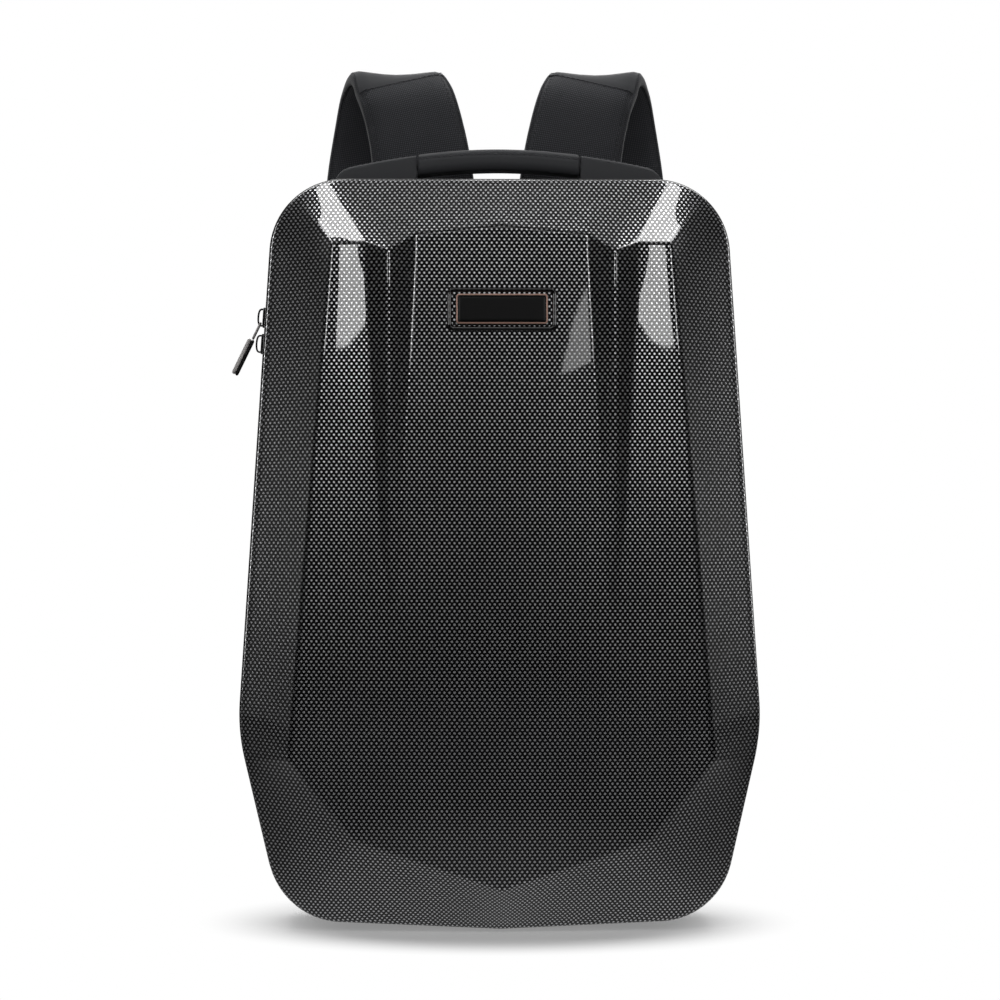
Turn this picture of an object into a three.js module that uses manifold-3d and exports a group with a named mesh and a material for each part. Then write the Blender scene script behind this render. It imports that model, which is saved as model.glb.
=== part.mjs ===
// Hard shell backpack, standing on its flat base with its shoulder straps up.
// Millimetres. +Z is up, the front of the shell faces -Y, and left is -X.
// The origin is on the floor, in the middle of the flat base.
import * as THREE from 'three';
import { mergeVertices } from 'three/addons/utils/BufferGeometryUtils.js';
import Module from 'manifold-3d';

const wasm = await Module();
wasm.setup();

// Body
const BAG_HEIGHT = 480;
const BAG_WIDTH = 333.8;
const HALF_WIDTH = BAG_WIDTH / 2;
const TOP_CORNER_RADIUS = 47;
const HIP_RADIUS = 125;
const FOOT_CORNER_RADIUS = 48;
const KEEL_HEIGHT = 2.2;
const BASE_HALF_WIDTH = 60;
const GAP = 0.3;

// Depths along Y, from the plane of the shell's rim to the wearer's back
const RIM_Y = -45;
const PIPING_DIAMETER = 4;
const PIPING_PROUD = 1.5;
const FRONT_GUSSET_DEPTH = 9;
const ZIP_TAPE_DEPTH = 11;
const GUSSET_BACK_Y = 45;
const CLOTH_WALL = 2;
const BACK_PANEL_THICKNESS = 8;
const BACK_PAD_THICKNESS = 11;

// Shell
const SHELL_WALL = 2;
const SHELL_DEPTH = 70;
const PANEL_TOP_FALL = 20;
const PANEL_SIDE_FALL = 13;
const CROWN_HEIGHT = 180;
const CROWN_END_ABOVE_SHOULDER = 23.5;
const WALL_DEPTH_TOP = 7;
const WALL_DEPTH_FOOT = 24;
const SHOULDER_ROUND = 3;
const FIN_HEIGHT = 12;
const FIN_CREST_X = 71;
const FIN_TIP_HEIGHT = 211;
const FIN_INNER_SPREAD = 17;
const FIN_OUTER_SPREAD = 14.5;
const FIN_LEAST_SPREAD = 4;
const FIN_SPREAD_POWER = 0.6;
const WALL_DEEPENS_BELOW = 0.62;

// Badge
const BADGE_HEIGHT = 394.7;
const BADGE_SEAT_WIDTH = 69;
const BADGE_SEAT_TALL = 27.5;
const BADGE_SEAT_PROUD = 1;
const BADGE_SEAT_BORDER = 3.2;
const BADGE_POCKET_DEPTH = 1;
const BADGE_WIDTH = 57.5;
const BADGE_TALL = 19;
const BADGE_THICKNESS = 1.6;
const BADGE_CORNER = 2;
const BADGE_FRAME_WIDTH = 1;

// Top handle
const HANDLE_Y = 10;
const HANDLE_WIDTH = 25;
const HANDLE_HALF_SPAN = 107;
const HANDLE_RISE = 24.5;
const HANDLE_CORE = 2.6;
const HANDLE_FALL = 0.56;
const HANDLE_FALL_POWER = 1.9;
const HANDLE_LIP = 3;
const HANDLE_END_SLOPE = 5;
const HANDLE_NECK = 2;
const HANDLE_UNDERCUT = 4;
const WING_BELOW_GRIP = 0.5;
const HANDLE_STEPS = 5;
const GRIP_HALF_LENGTH = 53;
const GRIP_WIDTH = 32;
const GRIP_THICKNESS = 14;
const GRIP_ROUND = 0.45;
const GRIP_STEPS = 8;

// Shoulder straps
const STRAP_RISE = 82;
const STRAP_DROP = 260;
const STRAP_ARCH = 47;
const STRAP_WIDTH = 64;
const STRAP_THICKNESS = 13;
const WEBBING_WIDTH = 25;
const WEBBING_THICKNESS = 2;
const ADJUSTER_WIDTH = 36;
const ADJUSTER_TALL = 26;
const ADJUSTER_THICKNESS = 5;
const ADJUSTER_BAR = 4.5;
const ADJUSTER_CORNER = 3;
const TAB_HEIGHT = 60;
const TAB_TALL = 36;
const TAB_WIDTH = 36;
const TAB_THICKNESS = 3;
const TAB_CORNER = 4;
const TAB_ACROSS = 0.72;
const SQUARE_CORNER = 0.01;

// Back pads
const PAD_CHANNEL = 36;
const PAD_WIDTH = 70;
const PAD_TOP = 426;
const PAD_BOTTOM = 60;
const PAD_CORNER = 22;
const PAD_SOFT_EDGE = 9;
const PANEL_SOFT_EDGE = 7;

// Zip, its sliders and its pull
const CHAIN_WIDTH = 6;
const CHAIN_PROUD = 1.4;
const CHAIN_END_HEIGHT = 90;
const PULL_HEIGHT = 389;
const SLIDER_PITCH = 17;
const SLIDER_LENGTH = 13;
const SLIDER_WIDTH = 9;
const SLIDER_PLATE = 1.6;
const BRIDGE_CLEAR = 2.4;
const BRIDGE_WALL = 1.1;
const BRIDGE_WIDTH = 3;
const BRIDGE_FROM_END = 0.5;
const BRIDGE_LEG = 1.2;
const BRIDGE_SEATED = 0.5;
const BRIDGE_SHOULDER = 1.3;
const BAR_FROM_END = 2.8;
const PULL_ANGLE = 26;
const LINK_WIRE = 1.5;
const LINK_LENGTH = 11;
const TAB_PULL_LENGTH = 25;
const TAB_PULL_WIDTH = 8;
const TAB_PULL_METAL = 2.4;
const TAB_PULL_RUBBER = 1.6;
const TAB_PULL_CORNER = 2.5;
const WIRE_SIDES = 8;

const FINISH = {
  shell: { color: 0x2b2c2f, roughness: 0.16, metalness: 0.1 },
  piping: { color: 0x141415, roughness: 0.5, metalness: 0 },
  cloth: { color: 0x2a2b2d, roughness: 0.95, metalness: 0 },
  mesh: { color: 0x303134, roughness: 1, metalness: 0 },
  leatherette: { color: 0x37383b, roughness: 0.55, metalness: 0 },
  zip: { color: 0x1d1e20, roughness: 0.6, metalness: 0.1 },
  plate: { color: 0x18181a, roughness: 0.4, metalness: 0.2 },
  copper: { color: 0x966e64, roughness: 0.25, metalness: 1 },
  steel: { color: 0xc6c2c1, roughness: 0.2, metalness: 1 },
  rubber: { color: 0x121213, roughness: 0.7, metalness: 0 },
  plastic: { color: 0x161618, roughness: 0.5, metalness: 0 },
};

const backpack = new THREE.Group();

function addPiece(name, geometry, finish, parent = backpack) {
  const material = new THREE.MeshStandardMaterial(finish);
  const mesh = new THREE.Mesh(geometry, material);
  mesh.name = name;
  parent.add(mesh);
  return mesh;
}

const lerp = THREE.MathUtils.lerp;
const clamp = THREE.MathUtils.clamp;

// A closed triangle list, turned inside out where its volume comes out negative.
function solidFrom(points, triangles) {
  let sixfold = 0;
  for (const [a, b, c] of triangles) {
    sixfold += points[a].dot(new THREE.Vector3().crossVectors(points[b], points[c]));
  }
  const outward = sixfold > 0 ? triangles : triangles.map(([a, b, c]) => [a, c, b]);
  const geometry = new THREE.BufferGeometry();
  const flat = points.flatMap((p) => [p.x, p.y, p.z]);
  geometry.setAttribute('position', new THREE.Float32BufferAttribute(flat, 3));
  geometry.setIndex(outward.flat());
  return geometry;
}

// Quads between rows of equal length, rows[i][j] to rows[i + 1][j + 1].
function quadTriangles(rowCount, rowLength, closeRows, closeLength) {
  const triangles = [];
  const lastRow = closeRows ? rowCount : rowCount - 1;
  const lastPoint = closeLength ? rowLength : rowLength - 1;
  for (let i = 0; i < lastRow; i += 1) {
    for (let j = 0; j < lastPoint; j += 1) {
      const a = i * rowLength + j;
      const b = i * rowLength + ((j + 1) % rowLength);
      const c = ((i + 1) % rowCount) * rowLength + ((j + 1) % rowLength);
      const d = ((i + 1) % rowCount) * rowLength + j;
      triangles.push([a, b, c], [a, c, d]);
    }
  }
  return triangles;
}

// A closed band: every section is a closed loop, and the last joins the first.
function closedBand(sections) {
  const triangles = quadTriangles(sections.length, sections[0].length, true, true);
  return solidFrom(sections.flat(), triangles);
}

function centreOf(points) {
  const sum = new THREE.Vector3();
  points.forEach((p) => sum.add(p));
  return sum.divideScalar(points.length);
}

// A bar through closed sections, with a flat or domed cap at each end.
function cappedBar(sections) {
  const count = sections[0].length;
  const points = sections.flat();
  const triangles = quadTriangles(sections.length, count, false, true);
  const last = (sections.length - 1) * count;
  const first = points.push(centreOf(sections[0])) - 1;
  const end = points.push(centreOf(sections.at(-1))) - 1;
  for (let j = 0; j < count; j += 1) {
    const next = (j + 1) % count;
    triangles.push([first, next, j], [end, last + j, last + next]);
  }
  return solidFrom(points, triangles);
}

function toManifold(geometry) {
  const bare = geometry.clone();
  bare.deleteAttribute('normal');
  bare.deleteAttribute('uv');
  const merged = mergeVertices(bare, 1e-4);
  return new wasm.Manifold(new wasm.Mesh({
    numProp: 3,
    vertProperties: new Float32Array(merged.attributes.position.array),
    triVerts: new Uint32Array(merged.index.array),
  }));
}

function fromManifold(body) {
  const { vertProperties, triVerts } = body.getMesh();
  const geometry = new THREE.BufferGeometry();
  geometry.setAttribute('position', new THREE.BufferAttribute(vertProperties, 3));
  geometry.setIndex(new THREE.BufferAttribute(triVerts, 1));
  return geometry;
}

function box(x, y, z, centre) {
  return new THREE.BoxGeometry(x, y, z).translate(centre.x, centre.y, centre.z);
}

function joined(...geometries) {
  return fromManifold(geometries.map(toManifold).reduce((a, b) => a.add(b)));
}

function cutFrom(geometry, ...tools) {
  return fromManifold(tools.map(toManifold).reduce((a, b) => a.subtract(b), toManifold(geometry)));
}

// The outline in the XZ plane: the right half's corners from top to bottom, as shares of half
// the width and of the height, each with its rounding.
const OUTLINE = [
  { corner: 'top', across: 0.861, up: 1, radius: TOP_CORNER_RADIUS },
  { corner: 'hip', across: 1, up: 0.265, radius: HIP_RADIUS },
  { corner: 'foot', across: 0.832, up: 0.0174, radius: FOOT_CORNER_RADIUS },
];

// Rounds each inner corner of an open path with an arc, and gives points with outward normals.
function roundedPath(corners, degreesPerStep) {
  const path = [];
  const put = (x, z, nx, nz) => path.push({ x, z, nx, nz });
  for (let i = 1; i < corners.length - 1; i += 1) {
    const here = new THREE.Vector2(corners[i].x, corners[i].z);
    const before = new THREE.Vector2(corners[i - 1].x, corners[i - 1].z).sub(here).normalize();
    const after = new THREE.Vector2(corners[i + 1].x, corners[i + 1].z).sub(here).normalize();
    const half = Math.acos(clamp(before.dot(after), -1, 1)) / 2;
    const bisector = before.clone().add(after).normalize();
    const centre = here.clone().addScaledVector(bisector, corners[i].radius / Math.sin(half));
    const start = here.clone().addScaledVector(before, corners[i].radius / Math.tan(half));
    const turn = Math.PI - 2 * half;
    const steps = Math.max(2, Math.ceil(THREE.MathUtils.radToDeg(turn) / degreesPerStep));
    const arm = start.clone().sub(centre);
    for (let k = 0; k <= steps; k += 1) {
      const spoke = arm.clone().rotateAround(new THREE.Vector2(), -turn * (k / steps));
      const normal = spoke.clone().normalize();
      put(centre.x + spoke.x, centre.y + spoke.y, normal.x, normal.y);
    }
  }
  return path;
}

function halfOutline(keel, flatHalfWidth, degreesPerStep) {
  const corners = OUTLINE.map((row) => ({
    x: row.across * HALF_WIDTH,
    z: row.up * BAG_HEIGHT,
    radius: row.radius,
  }));
  const top = { x: 0, z: BAG_HEIGHT };
  const keelPoint = { x: flatHalfWidth, z: keel };
  const path = roundedPath([top, ...corners, keelPoint], degreesPerStep);
  path.unshift({ x: 0, z: BAG_HEIGHT, nx: 0, nz: 1 });
  if (flatHalfWidth > 0) {
    path.push({ x: flatHalfWidth, z: keel, nx: 0, nz: -1 });
  }
  path.push({ x: 0, z: keel, nx: 0, nz: -1 });
  return path;
}

// Half an outline with a set number of points, even along its length from top to bottom.
class OutlineRuler {
  constructor(path) {
    this.path = path;
    this.marks = [0];
    for (let i = 1; i < path.length; i += 1) {
      const step = Math.hypot(path[i].x - path[i - 1].x, path[i].z - path[i - 1].z);
      this.marks.push(this.marks[i - 1] + step);
    }
    this.length = this.marks.at(-1);
  }

  at(share) {
    const mark = clamp(share, 0, 1) * this.length;
    const i = Math.max(1, this.marks.findIndex((m) => m >= mark - 1e-9));
    const k = (mark - this.marks[i - 1]) / (this.marks[i] - this.marks[i - 1] || 1);
    const mix = (key) => lerp(this.path[i - 1][key], this.path[i][key], k);
    const [nx, nz] = [mix('nx'), mix('nz')];
    const size = Math.hypot(nx, nz);
    return { x: mix('x'), z: mix('z'), nx: nx / size, nz: nz / size };
  }

  // The share of the length at which the right side passes a height on its way down.
  atHeight(z) {
    const i = this.path.findIndex((p) => p.z < z);
    const k = (this.path[i - 1].z - z) / (this.path[i - 1].z - this.path[i].z);
    return lerp(this.marks[i - 1], this.marks[i], k) / this.length;
  }

  nearest(x, z) {
    let best = 0;
    let least = Infinity;
    this.path.forEach((p, i) => {
      const away = Math.hypot(p.x - x, p.z - z);
      if (away < least) {
        least = away;
        best = this.marks[i] / this.length;
      }
    });
    return best;
  }
}

// The whole outline as a loop, clockwise from the top centre, seen from the front.
function wholeOutline(half) {
  const left = half.slice(1, -1).reverse().map((p) => ({ ...p, x: -p.x, nx: -p.nx }));
  return [...half, ...left];
}

const RING_STEP_DEGREES = 10;
const FINE_STEP_DEGREES = 1.5;
const rimHalf = halfOutline(KEEL_HEIGHT, 0, RING_STEP_DEGREES);
const rimLoop = wholeOutline(rimHalf);
const rimRuler = new OutlineRuler(halfOutline(KEEL_HEIGHT, 0, FINE_STEP_DEGREES));
const baseHalf = halfOutline(0, BASE_HALF_WIDTH, RING_STEP_DEGREES);
const baseLoop = wholeOutline(baseHalf);

function inward(point, inset, y) {
  return new THREE.Vector3(point.x - point.nx * inset, y, point.z - point.nz * inset);
}

// A wall that follows the outline, from one inset to another and from front to back.
function clothWall(loop, frontY, backY, wall) {
  return closedBand(loop.map((p) => [
    inward(p, 0, frontY),
    inward(p, 0, backY),
    inward(p, wall, backY),
    inward(p, wall, frontY),
  ]));
}

// The front panel's corners on the right half, as shares of half the width and of the height.
const PANEL = {
  topCentre: { across: 0, up: 0.9333 },
  finInner: { across: 0.3176, up: 0.9219 },
  finCrest: { across: 0.4254, up: 0.8979 },
  finOuter: { across: 0.5123, up: 0.9094 },
  shoulder: { across: 0.6411, up: 0.9094 },
  hip: { across: 0.8029, up: 0.2333 },
  foot: { across: 0.5572, up: 0.1292 },
  keel: { across: 0, up: 0.064 },
};
// The places of the rim that the panel's corners look to.
const RIM_ANCHOR = {
  shoulder: { across: 0.775, up: 0.9704 },
  hip: { up: 0.2333 },
  foot: { across: 0.77, up: 0.02 },
};
const PANEL_SIDE_ROWS = 12;
const PANEL_FOOT_ROWS = 6;
const ROW_CROWDING = 1.5;

function panelPoint(corner) {
  return { x: PANEL[corner].across * HALF_WIDTH, z: PANEL[corner].up * BAG_HEIGHT };
}

// Depth of the crowned panel in front of the rim.
function crownDepth(x, z) {
  const crownEnd = panelPoint('shoulder').z + CROWN_END_ABOVE_SHOULDER;
  const up = (z - CROWN_HEIGHT) / (crownEnd - CROWN_HEIGHT);
  const out = x / panelPoint('hip').x;
  const fall = PANEL_TOP_FALL * up * up;
  const sideFall = PANEL_SIDE_FALL * out * out * Math.max(0, 1 - up * up);
  return SHELL_DEPTH - fall - sideFall;
}

function finShare(z) {
  const top = panelPoint('finCrest').z;
  return clamp((z - FIN_TIP_HEIGHT) / (top - FIN_TIP_HEIGHT), 0, 1);
}

// The panel's columns from its middle to its side. A fin's columns follow the fin's lines, and
// lift is the share of the fin's height that the column has.
const COLUMNS = [
  { from: 'topCentre', to: 'finInner', share: 0, lift: 0 },
  { from: 'topCentre', to: 'finInner', share: 0.33, lift: 0 },
  { from: 'topCentre', to: 'finInner', share: 0.67, lift: 0 },
  { from: 'finInner', to: 'finCrest', share: 0, lift: 0 },
  { from: 'finCrest', to: 'finOuter', share: 0, lift: 1 },
  { from: 'finOuter', to: 'shoulder', share: 0, lift: 0.33 },
  { from: 'finOuter', to: 'shoulder', share: 0.5, lift: 0.1 },
  { from: 'finOuter', to: 'shoulder', share: 1, lift: 0 },
];

function finLine(corner, z) {
  const spread = Math.pow(finShare(z), FIN_SPREAD_POWER);
  if (corner === 'finInner') {
    return FIN_CREST_X - Math.max(FIN_LEAST_SPREAD, FIN_INNER_SPREAD * spread);
  }
  if (corner === 'finOuter') {
    return FIN_CREST_X + Math.max(FIN_LEAST_SPREAD, FIN_OUTER_SPREAD * spread);
  }
  return FIN_CREST_X;
}

// Half the panel's width on its way down, with the hip as its widest point.
function sideLine(down) {
  const [top, hip, foot] = ['shoulder', 'hip', 'foot'].map(panelPoint);
  const bend = (top.z - hip.z) / (top.z - foot.z);
  if (down <= bend) {
    return lerp(top.x, hip.x, down / bend);
  }
  return lerp(hip.x, foot.x, (down - bend) / (1 - bend));
}

function panelColumnX(column, z, down) {
  if (column.from === 'topCentre') {
    return column.share * finLine('finInner', z);
  }
  if (column.from === 'finOuter') {
    return lerp(finLine('finOuter', z), sideLine(down), column.share);
  }
  return finLine(column.from, z);
}

function panelVertex(column, down) {
  const top = lerp(panelPoint(column.from).z, panelPoint(column.to).z, column.share);
  const foot = panelPoint('foot');
  const keel = panelPoint('keel');
  const footX = panelColumnX(column, foot.z, 1);
  const bottom = lerp(keel.z, foot.z, footX / foot.x);
  const z = lerp(top, bottom, down);
  const x = panelColumnX(column, z, down);
  const depth = crownDepth(x, z) + FIN_HEIGHT * column.lift * finShare(z);
  return new THREE.Vector3(x, RIM_Y - depth, z);
}

function panelRowShares() {
  const [top, hip, foot] = ['shoulder', 'hip', 'foot'].map(panelPoint);
  const bend = (top.z - hip.z) / (top.z - foot.z);
  const shares = [];
  for (let i = 0; i <= PANEL_SIDE_ROWS; i += 1) {
    shares.push(bend * Math.pow(i / PANEL_SIDE_ROWS, ROW_CROWDING));
  }
  for (let i = 1; i <= PANEL_FOOT_ROWS; i += 1) {
    shares.push(lerp(bend, 1, i / PANEL_FOOT_ROWS));
  }
  return shares;
}

// Where each stretch of the panel's edge looks to the rim: shares of the outline's half length.
function rimShareOf(edge, share) {
  const near = ({ across, up }) => rimRuler.nearest(across * HALF_WIDTH, up * BAG_HEIGHT);
  const shoulder = near(RIM_ANCHOR.shoulder);
  const hip = rimRuler.atHeight(RIM_ANCHOR.hip.up * BAG_HEIGHT);
  const foot = near(RIM_ANCHOR.foot);
  const spans = { top: [0, shoulder], side: [shoulder, hip], foot: [hip, foot], keel: [foot, 1] };
  return lerp(spans[edge][0], spans[edge][1], share);
}

function wallDepth(z) {
  const down = clamp(1 - z / (WALL_DEEPENS_BELOW * BAG_HEIGHT), 0, 1);
  return lerp(WALL_DEPTH_TOP, WALL_DEPTH_FOOT, down * down);
}

// The right half of the shell's outer face: the panel's grid, and bands from its edge to the rim.
function shellHalfFace() {
  const shares = panelRowShares();
  const grid = shares.map((down) => COLUMNS.map((column) => panelVertex(column, down)));
  const edge = [];
  const lastRow = grid.length - 1;
  const lastColumn = COLUMNS.length - 1;
  for (let j = 0; j <= lastColumn; j += 1) {
    const share = grid[0][j].x / grid[0][lastColumn].x;
    edge.push({ row: 0, column: j, rim: rimShareOf('top', share) });
  }
  for (let i = 1; i <= PANEL_SIDE_ROWS; i += 1) {
    const down = Math.pow(i / PANEL_SIDE_ROWS, ROW_CROWDING);
    edge.push({ row: i, column: lastColumn, rim: rimShareOf('side', down) });
  }
  for (let i = 1; i <= PANEL_FOOT_ROWS; i += 1) {
    const row = PANEL_SIDE_ROWS + i;
    edge.push({ row, column: lastColumn, rim: rimShareOf('foot', i / PANEL_FOOT_ROWS) });
  }
  for (let j = lastColumn - 1; j >= 0; j -= 1) {
    const share = 1 - grid[lastRow][j].x / grid[lastRow][lastColumn].x;
    edge.push({ row: lastRow, column: j, rim: rimShareOf('keel', share) });
  }
  return { grid, edge };
}

// The wall's rows between the panel's edge and the rim, from the edge outward.
function bandRows(rimPoint) {
  const depth = wallDepth(rimPoint.z);
  return [
    inward(rimPoint, SHOULDER_ROUND * 0.8, RIM_Y - depth - SHOULDER_ROUND),
    inward(rimPoint, SHOULDER_ROUND * 0.2, RIM_Y - depth - SHOULDER_ROUND * 0.4),
    inward(rimPoint, 0, RIM_Y - depth),
    inward(rimPoint, 0, RIM_Y),
  ];
}

function shellOuterFace() {
  const { grid, edge } = shellHalfFace();
  const points = [];
  const index = new Map();
  const rimIndices = new Set();
  const place = (key, point) => {
    if (!index.has(key)) {
      index.set(key, points.push(point) - 1);
    }
    return index.get(key);
  };
  const triangles = [];
  const quad = (a, b, c, d, flip) => {
    const corners = flip ? [a, d, c, b] : [a, b, c, d];
    triangles.push([corners[0], corners[1], corners[2]], [corners[0], corners[2], corners[3]]);
  };
  for (const side of [1, -1]) {
    const flip = side < 0;
    const mirrored = (p) => new THREE.Vector3(p.x * side, p.y, p.z);
    const gridIndex = (i, j) => {
      const key = j === 0 ? `middle ${i}` : `${side} ${i} ${j}`;
      return place(key, mirrored(grid[i][j]));
    };
    for (let i = 0; i < grid.length - 1; i += 1) {
      for (let j = 0; j < grid[0].length - 1; j += 1) {
        quad(gridIndex(i, j), gridIndex(i + 1, j), gridIndex(i + 1, j + 1), gridIndex(i, j + 1), flip);
      }
    }
    const bands = edge.map((station, k) => {
      const rows = bandRows(rimRuler.at(station.rim));
      const onMiddle = k === 0 || k === edge.length - 1;
      return rows.map((p, r) => {
        const id = place(`${onMiddle ? 'middle' : side} band ${k} ${r}`, mirrored(p));
        if (r === rows.length - 1) {
          rimIndices.add(id);
        }
        return id;
      });
    });
    for (let k = 0; k < edge.length - 1; k += 1) {
      const here = [gridIndex(edge[k].row, edge[k].column), ...bands[k]];
      const next = [gridIndex(edge[k + 1].row, edge[k + 1].column), ...bands[k + 1]];
      for (let r = 0; r < here.length - 1; r += 1) {
        quad(here[r], next[r], next[r + 1], here[r + 1], flip);
      }
    }
  }
  return { points, triangles, rimIndices };
}

// Gives an open face a wall: a second face behind it, and a strip along its free edge.
function walled({ points, triangles, rimIndices }, wall) {
  const geometry = new THREE.BufferGeometry();
  const flat = points.flatMap((p) => [p.x, p.y, p.z]);
  geometry.setAttribute('position', new THREE.Float32BufferAttribute(flat, 3));
  geometry.setIndex(triangles.flat());
  geometry.computeVertexNormals();
  const normals = geometry.attributes.normal;
  const front = normals.getY(0) < 0 ? 1 : -1;
  const inner = points.map((p, i) => {
    const normal = new THREE.Vector3().fromBufferAttribute(normals, i).multiplyScalar(front);
    if (rimIndices.has(i)) {
      normal.setY(0).normalize();
    }
    return p.clone().addScaledVector(normal, -wall);
  });
  const offset = points.length;
  const back = triangles.map(([a, b, c]) => [a + offset, c + offset, b + offset]);
  const free = new Map();
  triangles.forEach((t) => [[t[0], t[1]], [t[1], t[2]], [t[2], t[0]]].forEach(([a, b]) => {
    if (!free.delete(`${b} ${a}`)) {
      free.set(`${a} ${b}`, [a, b]);
    }
  }));
  const strip = [...free.values()].flatMap(([a, b]) => [
    [b, a, a + offset],
    [b, a + offset, b + offset],
  ]);
  return solidFrom([...points, ...inner], [...triangles, ...back, ...strip]);
}

function roundedRectangle(width, tall, radius) {
  const shape = new THREE.Shape();
  const [x, y, r] = [width / 2, tall / 2, Math.min(radius, width / 2, tall / 2)];
  shape.absarc(x - r, y - r, r, 0, Math.PI / 2);
  shape.absarc(-x + r, y - r, r, Math.PI / 2, Math.PI);
  shape.absarc(-x + r, -y + r, r, Math.PI, Math.PI * 1.5);
  shape.absarc(x - r, -y + r, r, Math.PI * 1.5, Math.PI * 2);
  shape.closePath();
  return shape;
}

function plate(width, tall, radius, from, to) {
  const shape = roundedRectangle(width, tall, radius);
  const options = { depth: to - from, bevelEnabled: false, curveSegments: 4 };
  return new THREE.ExtrudeGeometry(shape, options).translate(0, 0, from);
}

// Carries a flat plate from its own XY plane onto the panel at the badge, with +Z outward.
function onBadge(geometry) {
  const step = 5;
  const depthAt = (z) => crownDepth(0, z);
  const slope = (depthAt(BADGE_HEIGHT + step) - depthAt(BADGE_HEIGHT - step)) / (2 * step);
  const up = new THREE.Vector3(0, -slope, 1).normalize();
  const across = new THREE.Vector3(1, 0, 0);
  const outward = new THREE.Vector3().crossVectors(across, up);
  const place = new THREE.Matrix4().makeBasis(across, up, outward);
  place.setPosition(0, RIM_Y - depthAt(BADGE_HEIGHT), BADGE_HEIGHT);
  return geometry.applyMatrix4(place);
}

function addShell() {
  const face = walled(shellOuterFace(), SHELL_WALL);
  const seat = plate(BADGE_SEAT_WIDTH, BADGE_SEAT_TALL, BADGE_CORNER * 2, -SHELL_WALL / 2,
    BADGE_SEAT_PROUD);
  const pocketWidth = BADGE_SEAT_WIDTH - 2 * BADGE_SEAT_BORDER;
  const pocketTall = BADGE_SEAT_TALL - 2 * BADGE_SEAT_BORDER;
  const pocket = plate(pocketWidth, pocketTall, BADGE_CORNER, BADGE_SEAT_PROUD - BADGE_POCKET_DEPTH,
    BADGE_SEAT_PROUD + FIN_HEIGHT);
  const body = toManifold(face).add(toManifold(onBadge(seat)));
  addPiece('shell', fromManifold(body.subtract(toManifold(onBadge(pocket)))), FINISH.shell);
}

function addBadge() {
  const back = BADGE_SEAT_PROUD - BADGE_POCKET_DEPTH + GAP;
  const inset = BADGE_FRAME_WIDTH + GAP;
  const outer = plate(BADGE_WIDTH, BADGE_TALL, BADGE_CORNER, back, back + BADGE_THICKNESS);
  const hole = plate(BADGE_WIDTH - 2 * BADGE_FRAME_WIDTH, BADGE_TALL - 2 * BADGE_FRAME_WIDTH,
    BADGE_CORNER - BADGE_FRAME_WIDTH / 2, back - 1, back + BADGE_THICKNESS + 1);
  addPiece('badge_frame', onBadge(cutFrom(outer, hole)), FINISH.copper);
  const face = plate(BADGE_WIDTH - 2 * inset, BADGE_TALL - 2 * inset,
    BADGE_CORNER - BADGE_FRAME_WIDTH / 2, back, back + BADGE_THICKNESS - GAP);
  addPiece('badge_plate', onBadge(face), FINISH.plate);
}

// Where each ring along the depth begins and ends.
const PIPING_Y = RIM_Y + GAP + PIPING_DIAMETER / 2;
const FRONT_GUSSET_Y = RIM_Y + PIPING_DIAMETER + 2 * GAP;
const ZIP_TAPE_Y = FRONT_GUSSET_Y + FRONT_GUSSET_DEPTH + GAP;
const GUSSET_Y = ZIP_TAPE_Y + ZIP_TAPE_DEPTH + GAP;
const CHAIN_Y = ZIP_TAPE_Y + ZIP_TAPE_DEPTH / 2;
const BACK_PANEL_Y = GUSSET_BACK_Y + GAP;
const BACK_FACE_Y = BACK_PANEL_Y + BACK_PANEL_THICKNESS;

function addPiping() {
  const sides = 6;
  const radius = PIPING_DIAMETER / 2;
  const centreInset = radius - PIPING_PROUD;
  addPiece('rim_piping', closedBand(rimLoop.map((p) => {
    const section = [];
    for (let k = 0; k < sides; k += 1) {
      const turn = (2 * Math.PI * k) / sides;
      section.push(inward(p, centreInset + radius * Math.cos(turn), PIPING_Y + radius * Math.sin(turn)));
    }
    return section;
  })), FINISH.piping);
}

// The teeth's raised strip, on the tape from one side's lower end over the top to the other's.
function addZipChain() {
  const ruler = new OutlineRuler(rimHalf);
  const end = ruler.atHeight(CHAIN_END_HEIGHT);
  const right = rimHalf.filter((p, i) => ruler.marks[i] < end * ruler.length);
  right.push(ruler.at(end));
  const left = right.slice(1).reverse().map((p) => ({ ...p, x: -p.x, nx: -p.nx }));
  const [near, far] = [-GAP, -GAP - CHAIN_PROUD];
  addPiece('zip_chain', cappedBar([...left, ...right].map((p) => [
    inward(p, near, CHAIN_Y - CHAIN_WIDTH / 2),
    inward(p, far, CHAIN_Y - CHAIN_WIDTH / 3),
    inward(p, far, CHAIN_Y + CHAIN_WIDTH / 3),
    inward(p, near, CHAIN_Y + CHAIN_WIDTH / 2),
  ])), FINISH.zip);
}

function addCloth() {
  addPiece('front_gusset', clothWall(rimLoop, FRONT_GUSSET_Y, FRONT_GUSSET_Y + FRONT_GUSSET_DEPTH,
    CLOTH_WALL), FINISH.cloth);
  addPiece('zip_tape', clothWall(rimLoop, ZIP_TAPE_Y, ZIP_TAPE_Y + ZIP_TAPE_DEPTH, CLOTH_WALL),
    FINISH.zip);
  addPiece('gusset', clothWall(baseLoop, GUSSET_Y, GUSSET_BACK_Y, CLOTH_WALL), FINISH.cloth);
}

// A pad with rounded edges: the loop is stepped inward towards each face.
function padded(loop, frontY, backY, soft) {
  const rows = [
    { inset: 0, y: frontY },
    { inset: 0, y: lerp(frontY, backY, 0.45) },
    { inset: soft * 0.3, y: lerp(frontY, backY, 0.8) },
    { inset: soft, y: backY },
  ];
  return cappedBar(rows.map((row) => loop.map((p) => inward(p, row.inset, row.y))));
}

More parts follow.
